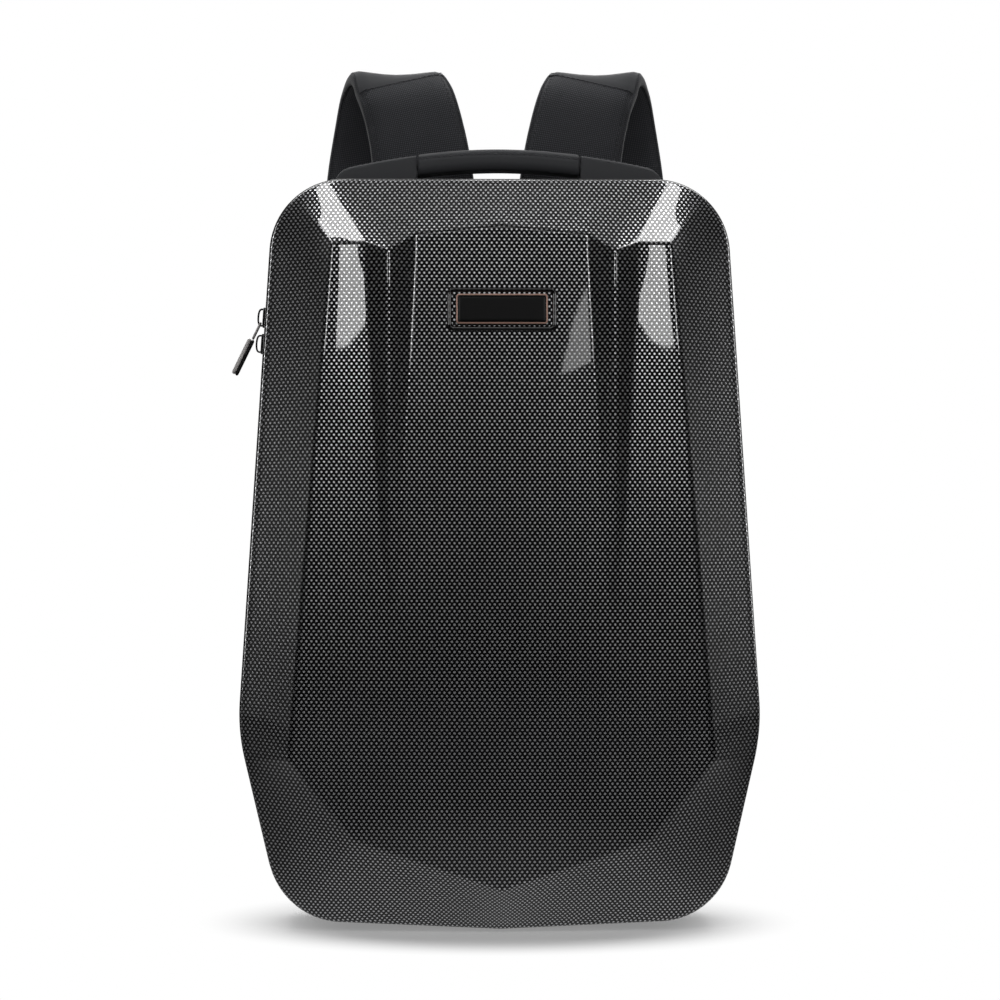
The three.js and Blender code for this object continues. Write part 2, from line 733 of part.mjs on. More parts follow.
function rectangleLoop(x, z, width, tall, radius) {
  const shape = roundedRectangle(width, tall, radius);
  const points = shape.getPoints(4).slice(0, -1);
  const soft = Math.min(radius, width / 2, tall / 2);
  return points.map((p) => {
    const anchor = new THREE.Vector2(
      clamp(p.x, -width / 2 + soft, width / 2 - soft),
      clamp(p.y, -tall / 2 + soft, tall / 2 - soft),
    );
    const normal = p.clone().sub(anchor).normalize();
    return { x: x + p.x, z: z + p.y, nx: normal.x, nz: normal.y };
  });
}

function addBack() {
  addPiece('back_panel', padded(baseLoop, BACK_PANEL_Y, BACK_FACE_Y, PANEL_SOFT_EDGE), FINISH.cloth);
  const tall = PAD_TOP - PAD_BOTTOM;
  for (const [side, name] of [[-1, 'left'], [1, 'right']]) {
    const x = side * (PAD_CHANNEL + PAD_WIDTH) / 2;
    const loop = rectangleLoop(x, PAD_BOTTOM + tall / 2, PAD_WIDTH, tall, PAD_CORNER);
    const backY = BACK_FACE_Y + GAP + BACK_PAD_THICKNESS;
    addPiece(`back_pad_${name}`, padded(loop, BACK_FACE_Y + GAP, backY, PAD_SOFT_EDGE), FINISH.mesh);
  }
}

// The handle's arch: height above the bag's top at a distance from its middle.
function handleRise(x) {
  const out = clamp(Math.abs(x) / HANDLE_HALF_SPAN, 0, 1);
  return HANDLE_RISE * (1 - HANDLE_FALL * Math.pow(out, HANDLE_FALL_POWER));
}

function addHandle() {
  const seat = BAG_HEIGHT + GAP;
  const coreTop = (x) => BAG_HEIGHT + handleRise(x) - (GRIP_THICKNESS - HANDLE_CORE) / 2;
  const shape = new THREE.Shape();
  shape.moveTo(-HANDLE_HALF_SPAN, seat);
  const steps = HANDLE_STEPS;
  const wingTop = (x) => BAG_HEIGHT + handleRise(x) - WING_BELOW_GRIP;
  const neck = GRIP_HALF_LENGTH + HANDLE_NECK;
  const tops = [[-HANDLE_HALF_SPAN, seat + HANDLE_LIP]];
  for (let i = 0; i <= steps; i += 1) {
    const x = lerp(-HANDLE_HALF_SPAN + HANDLE_END_SLOPE, -neck - 1, i / steps);
    tops.push([x, wingTop(x)]);
  }
  for (let i = -steps; i <= steps; i += 1) {
    const x = (neck * i) / steps;
    tops.push([x, coreTop(x)]);
  }
  for (let i = steps; i >= 0; i -= 1) {
    const x = lerp(HANDLE_HALF_SPAN - HANDLE_END_SLOPE, neck + 1, i / steps);
    tops.push([x, wingTop(x)]);
  }
  tops.push([HANDLE_HALF_SPAN, seat + HANDLE_LIP]);
  const left = tops.slice(0, steps + 2);
  const core = tops.slice(steps + 2, steps + 2 + 2 * steps + 1);
  const right = left.map(([x, z]) => [-x, z]).reverse();
  for (const [x, z] of [...left, ...core, ...right]) {
    shape.lineTo(x, z);
  }
  shape.lineTo(HANDLE_HALF_SPAN, seat);
  shape.lineTo(neck + HANDLE_UNDERCUT, seat);
  for (const [x, z] of [...core].reverse()) {
    shape.lineTo(x, z - HANDLE_CORE);
  }
  shape.lineTo(-neck - HANDLE_UNDERCUT, seat);
  shape.closePath();
  const options = { depth: HANDLE_WIDTH, bevelEnabled: false };
  const strap = new THREE.ExtrudeGeometry(shape, options);
  strap.rotateX(Math.PI / 2).translate(0, HANDLE_Y + HANDLE_WIDTH / 2, 0);
  addPiece('handle_strap', strap, FINISH.leatherette);

  const corner = GRIP_THICKNESS * GRIP_ROUND;
  const outer = roundedRectangle(GRIP_WIDTH, GRIP_THICKNESS, corner).getPoints(2).slice(0, -1);
  const slotWidth = HANDLE_WIDTH + 2 * GAP;
  const slotTall = HANDLE_CORE + 2 * GAP;
  const grip = cappedBar(gripSections(outer, GRIP_HALF_LENGTH));
  const slot = roundedRectangle(slotWidth, slotTall, SQUARE_CORNER).getPoints(1).slice(0, -1);
  const tool = cappedBar(gripSections(slot, GRIP_HALF_LENGTH + 1));
  addPiece('handle_grip', cutFrom(grip, tool), FINISH.leatherette);
}

// Sections across the handle, from one end of a stretch to the other, on the arch's middle line.
function gripSections(profile, halfLength) {
  const sections = [];
  for (let i = 0; i <= GRIP_STEPS; i += 1) {
    const x = lerp(-halfLength, halfLength, i / GRIP_STEPS);
    const z = BAG_HEIGHT + handleRise(x) - GRIP_THICKNESS / 2;
    sections.push(profile.map((p) => new THREE.Vector3(x, HANDLE_Y + p.x, z + p.y)));
  }
  return sections;
}

// The shoulder strap's middle line: across is a share of half the bag's width, out a share of the
// arch, rise a share of the loop's height above the bag and drop a share of the length below it.
const STRAP_ROUTE = [
  { across: 0.282, out: 0, rise: 0, drop: 0.13, wide: 1.02 },
  { across: 0.291, out: 0.003, rise: 0.06, drop: 0, wide: 1.04 },
  { across: 0.322, out: 0.05, rise: 0.49, drop: 0, wide: 1 },
  { across: 0.363, out: 0.19, rise: 0.79, drop: 0, wide: 0.98 },
  { across: 0.405, out: 0.49, rise: 0.92, drop: 0, wide: 0.98 },
  { across: 0.44, out: 0.79, rise: 0.8, drop: 0, wide: 0.98 },
  { across: 0.468, out: 0.95, rise: 0.49, drop: 0, wide: 1 },
  { across: 0.496, out: 1, rise: 0.12, drop: 0, wide: 1 },
  { across: 0.525, out: 0.96, rise: 0, drop: 0.24, wide: 1 },
  { across: 0.542, out: 0.81, rise: 0, drop: 0.54, wide: 0.96 },
  { across: 0.551, out: 0.57, rise: 0, drop: 0.82, wide: 0.86 },
  { across: 0.556, out: 0.38, rise: 0, drop: 1, wide: 0.76 },
];
const STRAP_STEPS_PER_ROW = 3;
const STRAP_FRONT_Y = BACK_FACE_Y + GAP;
const LEVEL = new THREE.Vector3(1, 0, 0);

function strapCurve() {
  const seatY = STRAP_FRONT_Y + STRAP_THICKNESS / 2;
  const route = STRAP_ROUTE.map((row) => new THREE.Vector3(
    -row.across * HALF_WIDTH,
    seatY + row.out * STRAP_ARCH,
    BAG_HEIGHT + row.rise * STRAP_RISE - row.drop * STRAP_DROP,
  ));
  return new THREE.CatmullRomCurve3(route, false, 'centripetal');
}

// The strip's own directions at a share of its curve: its width lies as level as the way lets it.
function stripFrame(curve, share) {
  const point = curve.getPoint(share);
  const along = curve.getTangent(share);
  const across = LEVEL.clone().addScaledVector(along, -LEVEL.dot(along)).normalize();
  const face = new THREE.Vector3().crossVectors(across, along);
  return { point, along, across, face };
}

function stripSections(curve, steps, profileAt) {
  const sections = [];
  for (let i = 0; i <= steps; i += 1) {
    const { point, across, face } = stripFrame(curve, i / steps);
    sections.push(profileAt(i / steps).map((p) => point.clone()
      .addScaledVector(across, p.x)
      .addScaledVector(face, p.y)));
  }
  return sections;
}

function strapWidthAt(share) {
  const place = share * (STRAP_ROUTE.length - 1);
  const i = Math.min(Math.floor(place), STRAP_ROUTE.length - 2);
  return STRAP_WIDTH * lerp(STRAP_ROUTE[i].wide, STRAP_ROUTE[i + 1].wide, place - i);
}

// The same body on the other side of the bag.
function acrossTheMiddle(geometry) {
  const other = geometry.clone().applyMatrix4(new THREE.Matrix4().makeScale(-1, 1, 1));
  const order = other.index ? [...other.index.array] : [...other.attributes.position.array.keys()];
  const corners = order.slice(0, other.index ? order.length : other.attributes.position.count);
  const turned = [];
  for (let i = 0; i < corners.length; i += 3) {
    turned.push(corners[i], corners[i + 2], corners[i + 1]);
  }
  other.setIndex(turned);
  return other;
}

function addPair(name, geometry, finish) {
  addPiece(`${name}_left`, geometry, finish);
  addPiece(`${name}_right`, acrossTheMiddle(geometry), finish);
}

function addStraps() {
  const curve = strapCurve();
  const profile = (share) => roundedRectangle(strapWidthAt(share), STRAP_THICKNESS,
    STRAP_THICKNESS * 0.4).getPoints(1).slice(0, -1);
  const steps = STRAP_STEPS_PER_ROW * (STRAP_ROUTE.length - 1);
  addPair('shoulder_strap', cappedBar(stripSections(curve, steps, profile)), FINISH.mesh);
  addAdjusters(stripFrame(curve, 1));
}

// The buckles under the straps' ends, the webbing from them and the tabs that hold the webbing.
function addAdjusters({ point, along, across, face }) {
  const centre = point.clone().addScaledVector(along, GAP + ADJUSTER_TALL / 2);
  const place = new THREE.Matrix4().makeBasis(across, along, face);
  place.setPosition(centre);
  const slotTall = (ADJUSTER_TALL - 3 * ADJUSTER_BAR) / 2;
  const slotWidth = ADJUSTER_WIDTH - 2 * ADJUSTER_BAR;
  const slotAway = (slotTall + ADJUSTER_BAR) / 2;
  const frame = plate(ADJUSTER_WIDTH, ADJUSTER_TALL, ADJUSTER_CORNER, -ADJUSTER_THICKNESS / 2,
    ADJUSTER_THICKNESS / 2);
  const slots = [-1, 1].map((way) => box(slotWidth, slotTall, 2 * ADJUSTER_THICKNESS,
    new THREE.Vector3(0, way * slotAway, 0)));
  addPair('adjuster', cutFrom(frame, ...slots).applyMatrix4(place), FINISH.plastic);

  const tabX = -TAB_ACROSS * HALF_WIDTH;
  const webY = BACK_FACE_Y + GAP + WEBBING_THICKNESS / 2;
  const foot = new THREE.Vector3(tabX, webY, TAB_HEIGHT + TAB_TALL / 2 + GAP);
  const start = centre.clone().addScaledVector(along, ADJUSTER_TALL / 2 + GAP);
  const lead = start.clone().addScaledVector(along, WEBBING_WIDTH / 3);
  const middle = start.clone().lerp(foot, 0.5);
  const nearFoot = foot.clone().add(new THREE.Vector3(0, 0, WEBBING_WIDTH / 2));
  const way = new THREE.CatmullRomCurve3([start, lead, middle, nearFoot, foot], false, 'centripetal');
  const profile = () => roundedRectangle(WEBBING_WIDTH, WEBBING_THICKNESS, SQUARE_CORNER).getPoints(1)
    .slice(0, -1);
  addPair('webbing', cappedBar(stripSections(way, 10, profile)), FINISH.cloth);

  const tab = plate(TAB_WIDTH, TAB_TALL, TAB_CORNER, 0, TAB_THICKNESS);
  tab.rotateX(Math.PI / 2).translate(tabX, BACK_FACE_Y + GAP + TAB_THICKNESS, TAB_HEIGHT);
  addPair('lower_tab', tab, FINISH.cloth);
}

// The zip's outer face on the left side at the pull's height, and how the side leans there.
function sideFrame(height) {
  const p = rimRuler.at(rimRuler.atHeight(height));
  const outward = new THREE.Vector3(-p.nx, 0, p.nz);
  const up = new THREE.Vector3(p.nz, 0, p.nx);
  const seat = new THREE.Vector3(-p.x, CHAIN_Y, p.z).addScaledVector(outward, 2 * GAP + CHAIN_PROUD);
  return { outward, up, seat };
}

const PIVOT_AWAY = SLIDER_PLATE + BRIDGE_CLEAR / 2;
const BAR_DOWN = SLIDER_LENGTH / 2 - BAR_FROM_END;

// A slider: a plate on the teeth with a bridge that the pull's bar runs under.
function sliderGeometry() {
  const half = SLIDER_LENGTH / 2;
  const foot = SLIDER_PLATE;
  const inner = foot + BRIDGE_CLEAR;
  const outer = inner + BRIDGE_WALL;
  const base = box(SLIDER_WIDTH, SLIDER_LENGTH, SLIDER_PLATE, new THREE.Vector3(0, 0, foot / 2));
  const shape = new THREE.Shape();
  const outerX = half - BRIDGE_FROM_END;
  const innerX = outerX - BRIDGE_LEG;
  const sunk = foot - BRIDGE_SEATED;
  const archOutline = [
    [innerX, sunk],
    [outerX, sunk],
    [outerX, inner - BRIDGE_LEG / 2],
    [outerX - BRIDGE_SHOULDER, outer],
    [-outerX + BRIDGE_SHOULDER, outer],
    [-outerX, inner - BRIDGE_LEG / 2],
    [-outerX, sunk],
    [-innerX, sunk],
    [-innerX, inner - BRIDGE_LEG / 2],
    [-innerX + BRIDGE_LEG / 2, inner],
    [innerX - BRIDGE_LEG / 2, inner],
    [innerX, inner - BRIDGE_LEG / 2],
  ];
  shape.setFromPoints(archOutline.map(([x, y]) => new THREE.Vector2(x, y)));
  shape.closePath();
  const arch = new THREE.ExtrudeGeometry(shape, { depth: BRIDGE_WIDTH, bevelEnabled: false });
  arch.translate(0, 0, -BRIDGE_WIDTH / 2);
  const [x, y, z] = [new THREE.Vector3(1, 0, 0), new THREE.Vector3(0, 1, 0), new THREE.Vector3(0, 0, 1)];
  arch.applyMatrix4(new THREE.Matrix4().makeBasis(y, z, x));
  return joined(base, arch);
}

function addZipFittings() {
  const upperHeight = PULL_HEIGHT + BAR_DOWN;
  const upper = sideFrame(upperHeight);
  const lower = sideFrame(upperHeight - SLIDER_PITCH);
  for (const [name, frame] of [['slider_upper', upper], ['slider_lower', lower]]) {
    const across = new THREE.Vector3().crossVectors(frame.up, frame.outward);
    const place = new THREE.Matrix4().makeBasis(across, frame.up, frame.outward);
    place.setPosition(frame.seat);
    addPiece(name, sliderGeometry().applyMatrix4(place), FINISH.zip);
  }
  addPull(upper);
}

// The pull is drawn hanging straight down from its bar, then leaned outward about the bar.
function addPull(frame) {
  const pivot = frame.seat.clone()
    .addScaledVector(frame.outward, PIVOT_AWAY)
    .addScaledVector(frame.up, -BAR_DOWN);
  const pull = new THREE.Group();
  pull.position.copy(pivot);
  pull.rotation.y = THREE.MathUtils.degToRad(PULL_ANGLE);
  backpack.add(pull);

  const armY = BRIDGE_WIDTH / 2 + GAP + LINK_WIRE;
  const bar = new THREE.CylinderGeometry(LINK_WIRE / 2, LINK_WIRE / 2, 2 * armY + LINK_WIRE * 0.8,
    WIRE_SIDES);
  const arms = [-1, 1].map((side) => new THREE.CylinderGeometry(LINK_WIRE / 2, LINK_WIRE / 2,
    LINK_LENGTH, WIRE_SIDES).rotateX(Math.PI / 2).translate(0, side * armY, -LINK_LENGTH / 2));
  const foot = new THREE.CylinderGeometry(LINK_WIRE / 2, LINK_WIRE / 2, 2 * armY, WIRE_SIDES);
  addPiece('pull_link', joined(bar, ...arms, foot.translate(0, 0, -LINK_LENGTH)), FINISH.steel, pull);

  const top = -LINK_LENGTH - LINK_WIRE / 2 - GAP;
  const metal = plate(TAB_PULL_WIDTH, TAB_PULL_LENGTH, TAB_PULL_CORNER, 0, TAB_PULL_METAL);
  const upright = (geometry) => geometry.rotateX(Math.PI / 2).rotateZ(Math.PI / 2);
  const rubberFront = LINK_WIRE - TAB_PULL_RUBBER;
  const middle = top - TAB_PULL_LENGTH / 2;
  upright(metal).translate(rubberFront - GAP - TAB_PULL_METAL, 0, middle);
  addPiece('pull_tab', metal, FINISH.steel, pull);
  const rubber = plate(TAB_PULL_WIDTH, TAB_PULL_LENGTH, TAB_PULL_CORNER, 0, TAB_PULL_RUBBER);
  upright(rubber).translate(rubberFront, 0, middle);
  addPiece('pull_backing', rubber, FINISH.rubber, pull);
}

addShell();
addBadge();
addPiping();
addCloth();
addZipChain();
addBack();
addHandle();
addStraps();
addZipFittings();

export default backpack;
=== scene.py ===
"""Hard shell backpack, standing with its shoulder straps up.

The frame holds the pieces at their real size. This script dresses them: each sub-assembly is a
class that builds its fine meshes over the frame's solids, and each finish is a small class that
makes its material. Lengths in the classes are millimetres, and meshes are made in metres.
"""

import logging
import math
from dataclasses import dataclass, field
from enum import Enum
from typing import Any, Callable, Sequence

import bpy
import numpy as np
from mathutils import Matrix, Vector


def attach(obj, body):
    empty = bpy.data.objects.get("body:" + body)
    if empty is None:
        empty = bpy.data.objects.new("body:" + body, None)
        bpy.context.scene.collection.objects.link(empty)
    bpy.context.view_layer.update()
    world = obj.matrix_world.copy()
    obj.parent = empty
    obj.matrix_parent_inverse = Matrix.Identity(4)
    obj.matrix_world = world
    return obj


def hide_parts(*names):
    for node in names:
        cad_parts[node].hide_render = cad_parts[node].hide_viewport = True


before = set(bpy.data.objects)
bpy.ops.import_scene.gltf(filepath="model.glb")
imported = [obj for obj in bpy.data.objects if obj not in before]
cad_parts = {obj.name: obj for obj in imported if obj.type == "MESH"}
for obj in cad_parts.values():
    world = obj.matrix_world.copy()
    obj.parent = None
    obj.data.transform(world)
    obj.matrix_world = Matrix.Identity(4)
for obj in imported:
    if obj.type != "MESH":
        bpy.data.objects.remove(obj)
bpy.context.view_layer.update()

LOG = logging.getLogger("backpack")
MM = 0.001
GAP = 0.3
BAG = "bag"
PULL = "zip_pull"
X_AXIS = np.array([1.0, 0.0, 0.0])
MIRROR = np.array([-1.0, 1.0, 1.0])
FULL_TURN = 2 * math.pi
# A Wave Texture of scale 1 repeats every 0.314 of its space.
WAVE_PERIOD = 0.314


# Materials


def linear(colour: str, alpha: float = 1.0) -> tuple[float, float, float, float]:
    """Turns an sRGB hex colour into linear RGBA.

    Args:
        colour: six hex digits.
        alpha: the fourth value.

    Returns:
        Linear red, green and blue, and alpha.
    """
    values = [int(colour[i : i + 2], 16) / 255 for i in (0, 2, 4)]
    red, green, blue = [v / 12.92 if v <= 0.04045 else ((v + 0.055) / 1.055) ** 2.4 for v in values]
    return (red, green, blue, alpha)


def add_node(
    tree: bpy.types.NodeTree,
    kind: str,
    inputs: dict[Any, Any] | None = None,
    **settings: Any,
) -> bpy.types.Node:
    """Adds one node with its settings, its values and its incoming links.

    Args:
        tree: the node tree.
        kind: the node's type name.
        inputs: socket name or index to a value, or to the output socket that feeds it.
        **settings: the node's own properties.

    Returns:
        The node.
    """
    node = tree.nodes.new(kind)
    for key, value in settings.items():
        setattr(node, key, value)
    for key, value in (inputs or {}).items():
        if isinstance(value, bpy.types.NodeSocket):
            tree.links.new(value, node.inputs[key])
        else:
            node.inputs[key].default_value = value
    return node


@dataclass(frozen=True)
class Finish:
    """One material: what it is made of, and the shader values that show it."""

    name: str
    colour: str
    roughness: float = 0.5
    metallic: float = 0.0
    ior: float = 1.5
    coat: float = 0.0
    coat_roughness: float = 0.05
    sheen: float = 0.0
    specular: float = 0.5

    def start(self) -> tuple[bpy.types.Material, bpy.types.NodeTree, bpy.types.Node]:
        """Makes the material with its shader set from the fields.

        Returns:
            The material, its tree and its Principled shader.
        """
        material = bpy.data.materials.new(self.name)
        material.use_nodes = True
        tree = material.node_tree
        shader = tree.nodes["Principled BSDF"]
        shader.inputs["Base Color"].default_value = linear(self.colour)
        shader.inputs["Roughness"].default_value = self.roughness
        shader.inputs["Metallic"].default_value = self.metallic
        if self.metallic < 1:
            shader.inputs["IOR"].default_value = self.ior
        shader.inputs["Specular IOR Level"].default_value = self.specular
        shader.inputs["Coat Weight"].default_value = self.coat
        shader.inputs["Coat Roughness"].default_value = self.coat_roughness
        shader.inputs["Sheen Weight"].default_value = self.sheen
        shader.inputs["Sheen Roughness"].default_value = 0.5
        return material, tree, shader

    def dress(self, tree: bpy.types.NodeTree, shader: bpy.types.Node) -> None:
        """Adds the surface's detail. A plain finish has none of its own.

        Args:
            tree: the material's tree.
            shader: its Principled shader.
        """

    def material(self) -> bpy.types.Material:
        """Gives the material, made the first time that it is asked for.

        Returns:
            The material.
        """
        made = bpy.data.materials.get(self.name)
        if made is not None:
            return made
        material, tree, shader = self.start()
        self.dress(tree, shader)
        return material


def relief(
    tree: bpy.types.NodeTree,
    shader: bpy.types.Node,
    height: bpy.types.NodeSocket,
    depth: float,
    strength: float = 1.0,
) -> bpy.types.Node:
    """Feeds a height into the shader's normal.

    Args:
        tree: the material's tree.
        shader: its Principled shader.
        height: a socket from 0 to 1.
        depth: the relief's depth in millimetres.
        strength: the bump's strength.

    Returns:
        The bump node.
    """
    bump = add_node(tree, "ShaderNodeBump", {"Height": height, "Distance": depth * MM, "Strength": strength})
    tree.links.new(bump.outputs["Normal"], shader.inputs["Normal"])
    return bump


def print_space(tree: bpy.types.NodeTree) -> bpy.types.NodeSocket:
    """The piece's own map, in metres along and across its surface."""
    return add_node(tree, "ShaderNodeUVMap", uv_map="surface").outputs["UV"]


def object_space(tree: bpy.types.NodeTree) -> bpy.types.NodeSocket:
    """Object coordinates, in metres."""
    return add_node(tree, "ShaderNodeTexCoord").outputs["Object"]


def staggered_dots(
    tree: bpy.types.NodeTree,
    space: bpy.types.NodeSocket,
    pitch: float,
    row: float,
    radius: float,
    soft: float,
) -> bpy.types.NodeSocket:
    """A field of round dots in staggered rows.

    Args:
        tree: the material's tree.
        space: the map that the dots lie on, in metres.
        pitch: millimetres between dots in a row.
        row: millimetres between rows.
        radius: the dots' radius in millimetres.
        soft: the width of a dot's soft edge in millimetres.

    Returns:
        A socket that is 1 inside the dots and 0 between them.
    """
    cell = (pitch, 2 * row, 1.0)
    distances = []
    for shift in ((0.0, 0.0, 0.0), (0.5, 0.5, 0.0)):
        scaled = add_node(
            tree,
            "ShaderNodeVectorMath",
            {0: space, 1: tuple(1 / (MM * c) for c in cell), 2: shift},
            operation="MULTIPLY_ADD",
        )
        whole = add_node(tree, "ShaderNodeVectorMath", {0: scaled.outputs[0]}, operation="FRACTION")
        centred = add_node(
            tree, "ShaderNodeVectorMath", {0: whole.outputs[0], 1: (0.5, 0.5, 0.0)}, operation="SUBTRACT"
        )
        sized = add_node(
            tree,
            "ShaderNodeVectorMath",
            {0: centred.outputs[0], 1: (cell[0], cell[1], 0.0)},
            operation="MULTIPLY",
        )
        length = add_node(tree, "ShaderNodeVectorMath", {0: sized.outputs[0]}, operation="LENGTH")
        distances.append(length.outputs["Value"])
    nearest = add_node(tree, "ShaderNodeMath", {0: distances[0], 1: distances[1]}, operation="MINIMUM")
    edge = add_node(
        tree,
        "ShaderNodeMapRange",
        {"Value": nearest.outputs[0], "From Min": radius + soft / 2, "From Max": radius - soft / 2},
        interpolation_type="SMOOTHSTEP",
    )
    return edge.outputs["Result"]


def mixed(
    tree: bpy.types.NodeTree,
    factor: bpy.types.NodeSocket,
    low: Any,
    high: Any,
    kind: str = "FLOAT",
) -> bpy.types.NodeSocket:
    """A value or colour between two, by a factor.

    Args:
        tree: the material's tree.
        factor: a socket from 0 to 1.
        low: the value, colour or socket at 0.
        high: the value, colour or socket at 1.
        kind: FLOAT or RGBA.

    Returns:
        The mix's output socket.
    """
    first, second, out = (2, 3, 0) if kind == "FLOAT" else (6, 7, 2)
    node = add_node(tree, "ShaderNodeMix", {0: factor, first: low, second: high}, data_type=kind)
    return node.outputs[out]


@dataclass(frozen=True)
class DottedPolycarbonate(Finish):
    """Polycarbonate sheet, printed with silver dots on black and vacuum formed under gloss.

    It gives the eye a fine field of bright dots that lights up where the shell faces the lights,
    under a clear mirror that shows their edges.
    """

    dot_colour: str = "F6F7FA"
    dot_pitch: float = 3.14
    row_pitch: float = 2.12
    dot_radius: float = 0.66
    dot_roughness: float = 0.36
    dot_metallic: float = 0.9
    dot_edge: float = 0.5
    faintest: float = 0.86
    ripple: float = 0.012

    def dress(self, tree: bpy.types.NodeTree, shader: bpy.types.Node) -> None:
        """Prints the dots and lays the slight ripple of formed sheet on the gloss.

        Args:
            tree: the material's tree.
            shader: its Principled shader.
        """
        dots = staggered_dots(
            tree, print_space(tree), self.dot_pitch, self.row_pitch, self.dot_radius, self.dot_edge
        )
        place = object_space(tree)
        uneven = add_node(tree, "ShaderNodeTexNoise", {"Vector": place, "Scale": 26.0, "Detail": 2.0})
        tone = add_node(
            tree,
            "ShaderNodeMapRange",
            {"Value": uneven.outputs["Fac"], "From Min": 0.3, "From Max": 0.7, "To Min": self.faintest},
        )
        amount = add_node(tree, "ShaderNodeMath", {0: dots, 1: tone.outputs["Result"]}, operation="MULTIPLY")
        colour = mixed(tree, amount.outputs[0], linear(self.colour), linear(self.dot_colour), "RGBA")
        tree.links.new(colour, shader.inputs["Base Color"])
        tree.links.new(mixed(tree, dots, self.metallic, self.dot_metallic), shader.inputs["Metallic"])
        tree.links.new(mixed(tree, dots, self.roughness, self.dot_roughness), shader.inputs["Roughness"])
        wave = add_node(tree, "ShaderNodeTexNoise", {"Vector": place, "Scale": 90.0, "Detail": 1.0})
        bump = add_node(
            tree,
            "ShaderNodeBump",
            {"Height": wave.outputs["Fac"], "Distance": self.ripple * MM, "Strength": 1.0},
        )
        tree.links.new(bump.outputs["Normal"], shader.inputs["Coat Normal"])


@dataclass(frozen=True)
class WovenCloth(Finish):
    """Plain-woven polyester. It gives the eye a dry, even black with a fine crossed grain."""

    thread: float = 1.1
    raised: float = 0.12
    light: str = "3A3B3E"

    def dress(self, tree: bpy.types.NodeTree, shader: bpy.types.Node) -> None:
        """Weaves two sets of threads; the pitch is drawn coarse enough to show.

        Args:
            tree: the material's tree.
            shader: its Principled shader.
        """
        space, scale = print_space(tree), WAVE_PERIOD / (self.thread * MM)
        waves = []
        for direction in ("X", "Y"):
            wave = add_node(
                tree,
                "ShaderNodeTexWave",
                {"Vector": space, "Scale": scale, "Distortion": 0.4, "Detail": 1.0},
                bands_direction=direction,
            )
            waves.append(wave.outputs["Fac"])
        crossed = add_node(tree, "ShaderNodeMath", {0: waves[0], 1: waves[1]}, operation="MULTIPLY")
        fuzz = add_node(
            tree, "ShaderNodeTexNoise", {"Vector": object_space(tree), "Scale": 60.0, "Detail": 4.0}
        )
        uneven = mixed(tree, fuzz.outputs["Fac"], 0.7, 1.3)
        shade = add_node(tree, "ShaderNodeMath", {0: crossed.outputs[0], 1: uneven}, operation="MULTIPLY")
        colour = mixed(tree, shade.outputs[0], linear(self.colour), linear(self.light), "RGBA")
        tree.links.new(colour, shader.inputs["Base Color"])
        relief(tree, shader, crossed.outputs[0], self.raised)


@dataclass(frozen=True)
class AirMesh(Finish):
    """Knitted spacer mesh over foam. It gives the eye rows of small holes in a soft black, with painted shade
    in the holes.
    """

    hole_pitch: float = 2.6
    hole_radius: float = 0.72
    # painted shade: the near-black colour that stands for the shade inside the holes
    hole_painted_shade: str = "0B0B0C"
    light: str = "3C3D40"
    row_share: float = 0.62
    deep: float = 0.5
    soft: float = 0.7

    def dress(self, tree: bpy.types.NodeTree, shader: bpy.types.Node) -> None:
        """Knits the holes on the piece's own map and paints shade into them.

        Args:
            tree: the material's tree.
            shader: its Principled shader.
        """
        space = print_space(tree)
        rows = self.hole_pitch * self.row_share
        holes = staggered_dots(tree, space, self.hole_pitch, rows, self.hole_radius, self.soft)
        fuzz = add_node(
            tree, "ShaderNodeTexNoise", {"Vector": object_space(tree), "Scale": 240.0, "Detail": 3.0}
        )
        yarn = mixed(tree, fuzz.outputs["Fac"], linear(self.colour), linear(self.light), "RGBA")
        # painted shade: the holes take the near-black colour
        colour = mixed(tree, holes, yarn, linear(self.hole_painted_shade), "RGBA")
        tree.links.new(colour, shader.inputs["Base Color"])
        height = add_node(tree, "ShaderNodeMath", {0: 1.0, 1: holes}, operation="SUBTRACT")
        relief(tree, shader, height.outputs[0], self.deep)


@dataclass(frozen=True)
class Leatherette(Finish):
    """Coated polyurethane leather, embossed. It gives a soft satin with a small pebbled grain."""

    grain: float = 0.9
    raised: float = 0.05

    def dress(self, tree: bpy.types.NodeTree, shader: bpy.types.Node) -> None:
        """Embosses the pebbles and lets the gloss vary with handling.

        Args:
            tree: the material's tree.
            shader: its Principled shader.
        """
        place = object_space(tree)
        size = {"Vector": place, "Scale": 1 / (self.grain * MM)}
        pebbles = add_node(tree, "ShaderNodeTexVoronoi", size, feature="SMOOTH_F1")
        worn = add_node(tree, "ShaderNodeTexNoise", {"Vector": place, "Scale": 35.0, "Detail": 3.0})
        gloss = mixed(tree, worn.outputs["Fac"], self.roughness - 0.08, self.roughness + 0.1)
        tree.links.new(gloss, shader.inputs["Roughness"])
        relief(tree, shader, pebbles.outputs["Distance"], self.raised)


@dataclass(frozen=True)
class MouldedPlastic(Finish):
    """Injection-moulded plastic or rubber with a spark-eroded grain: a fine, even satin."""

    grit: float = 0.5
    raised: float = 0.02

    def dress(self, tree: bpy.types.NodeTree, shader: bpy.types.Node) -> None:
        """Grains the surface.

        Args:
            tree: the material's tree.
            shader: its Principled shader.
        """
        grains = add_node(
            tree,
            "ShaderNodeTexNoise",
            {"Vector": object_space(tree), "Scale": 1 / (self.grit * MM), "Detail": 2.0},
        )
        gloss = mixed(tree, grains.outputs["Fac"], self.roughness - 0.06, self.roughness + 0.08)
        tree.links.new(gloss, shader.inputs["Roughness"])
        relief(tree, shader, grains.outputs["Fac"], self.raised)


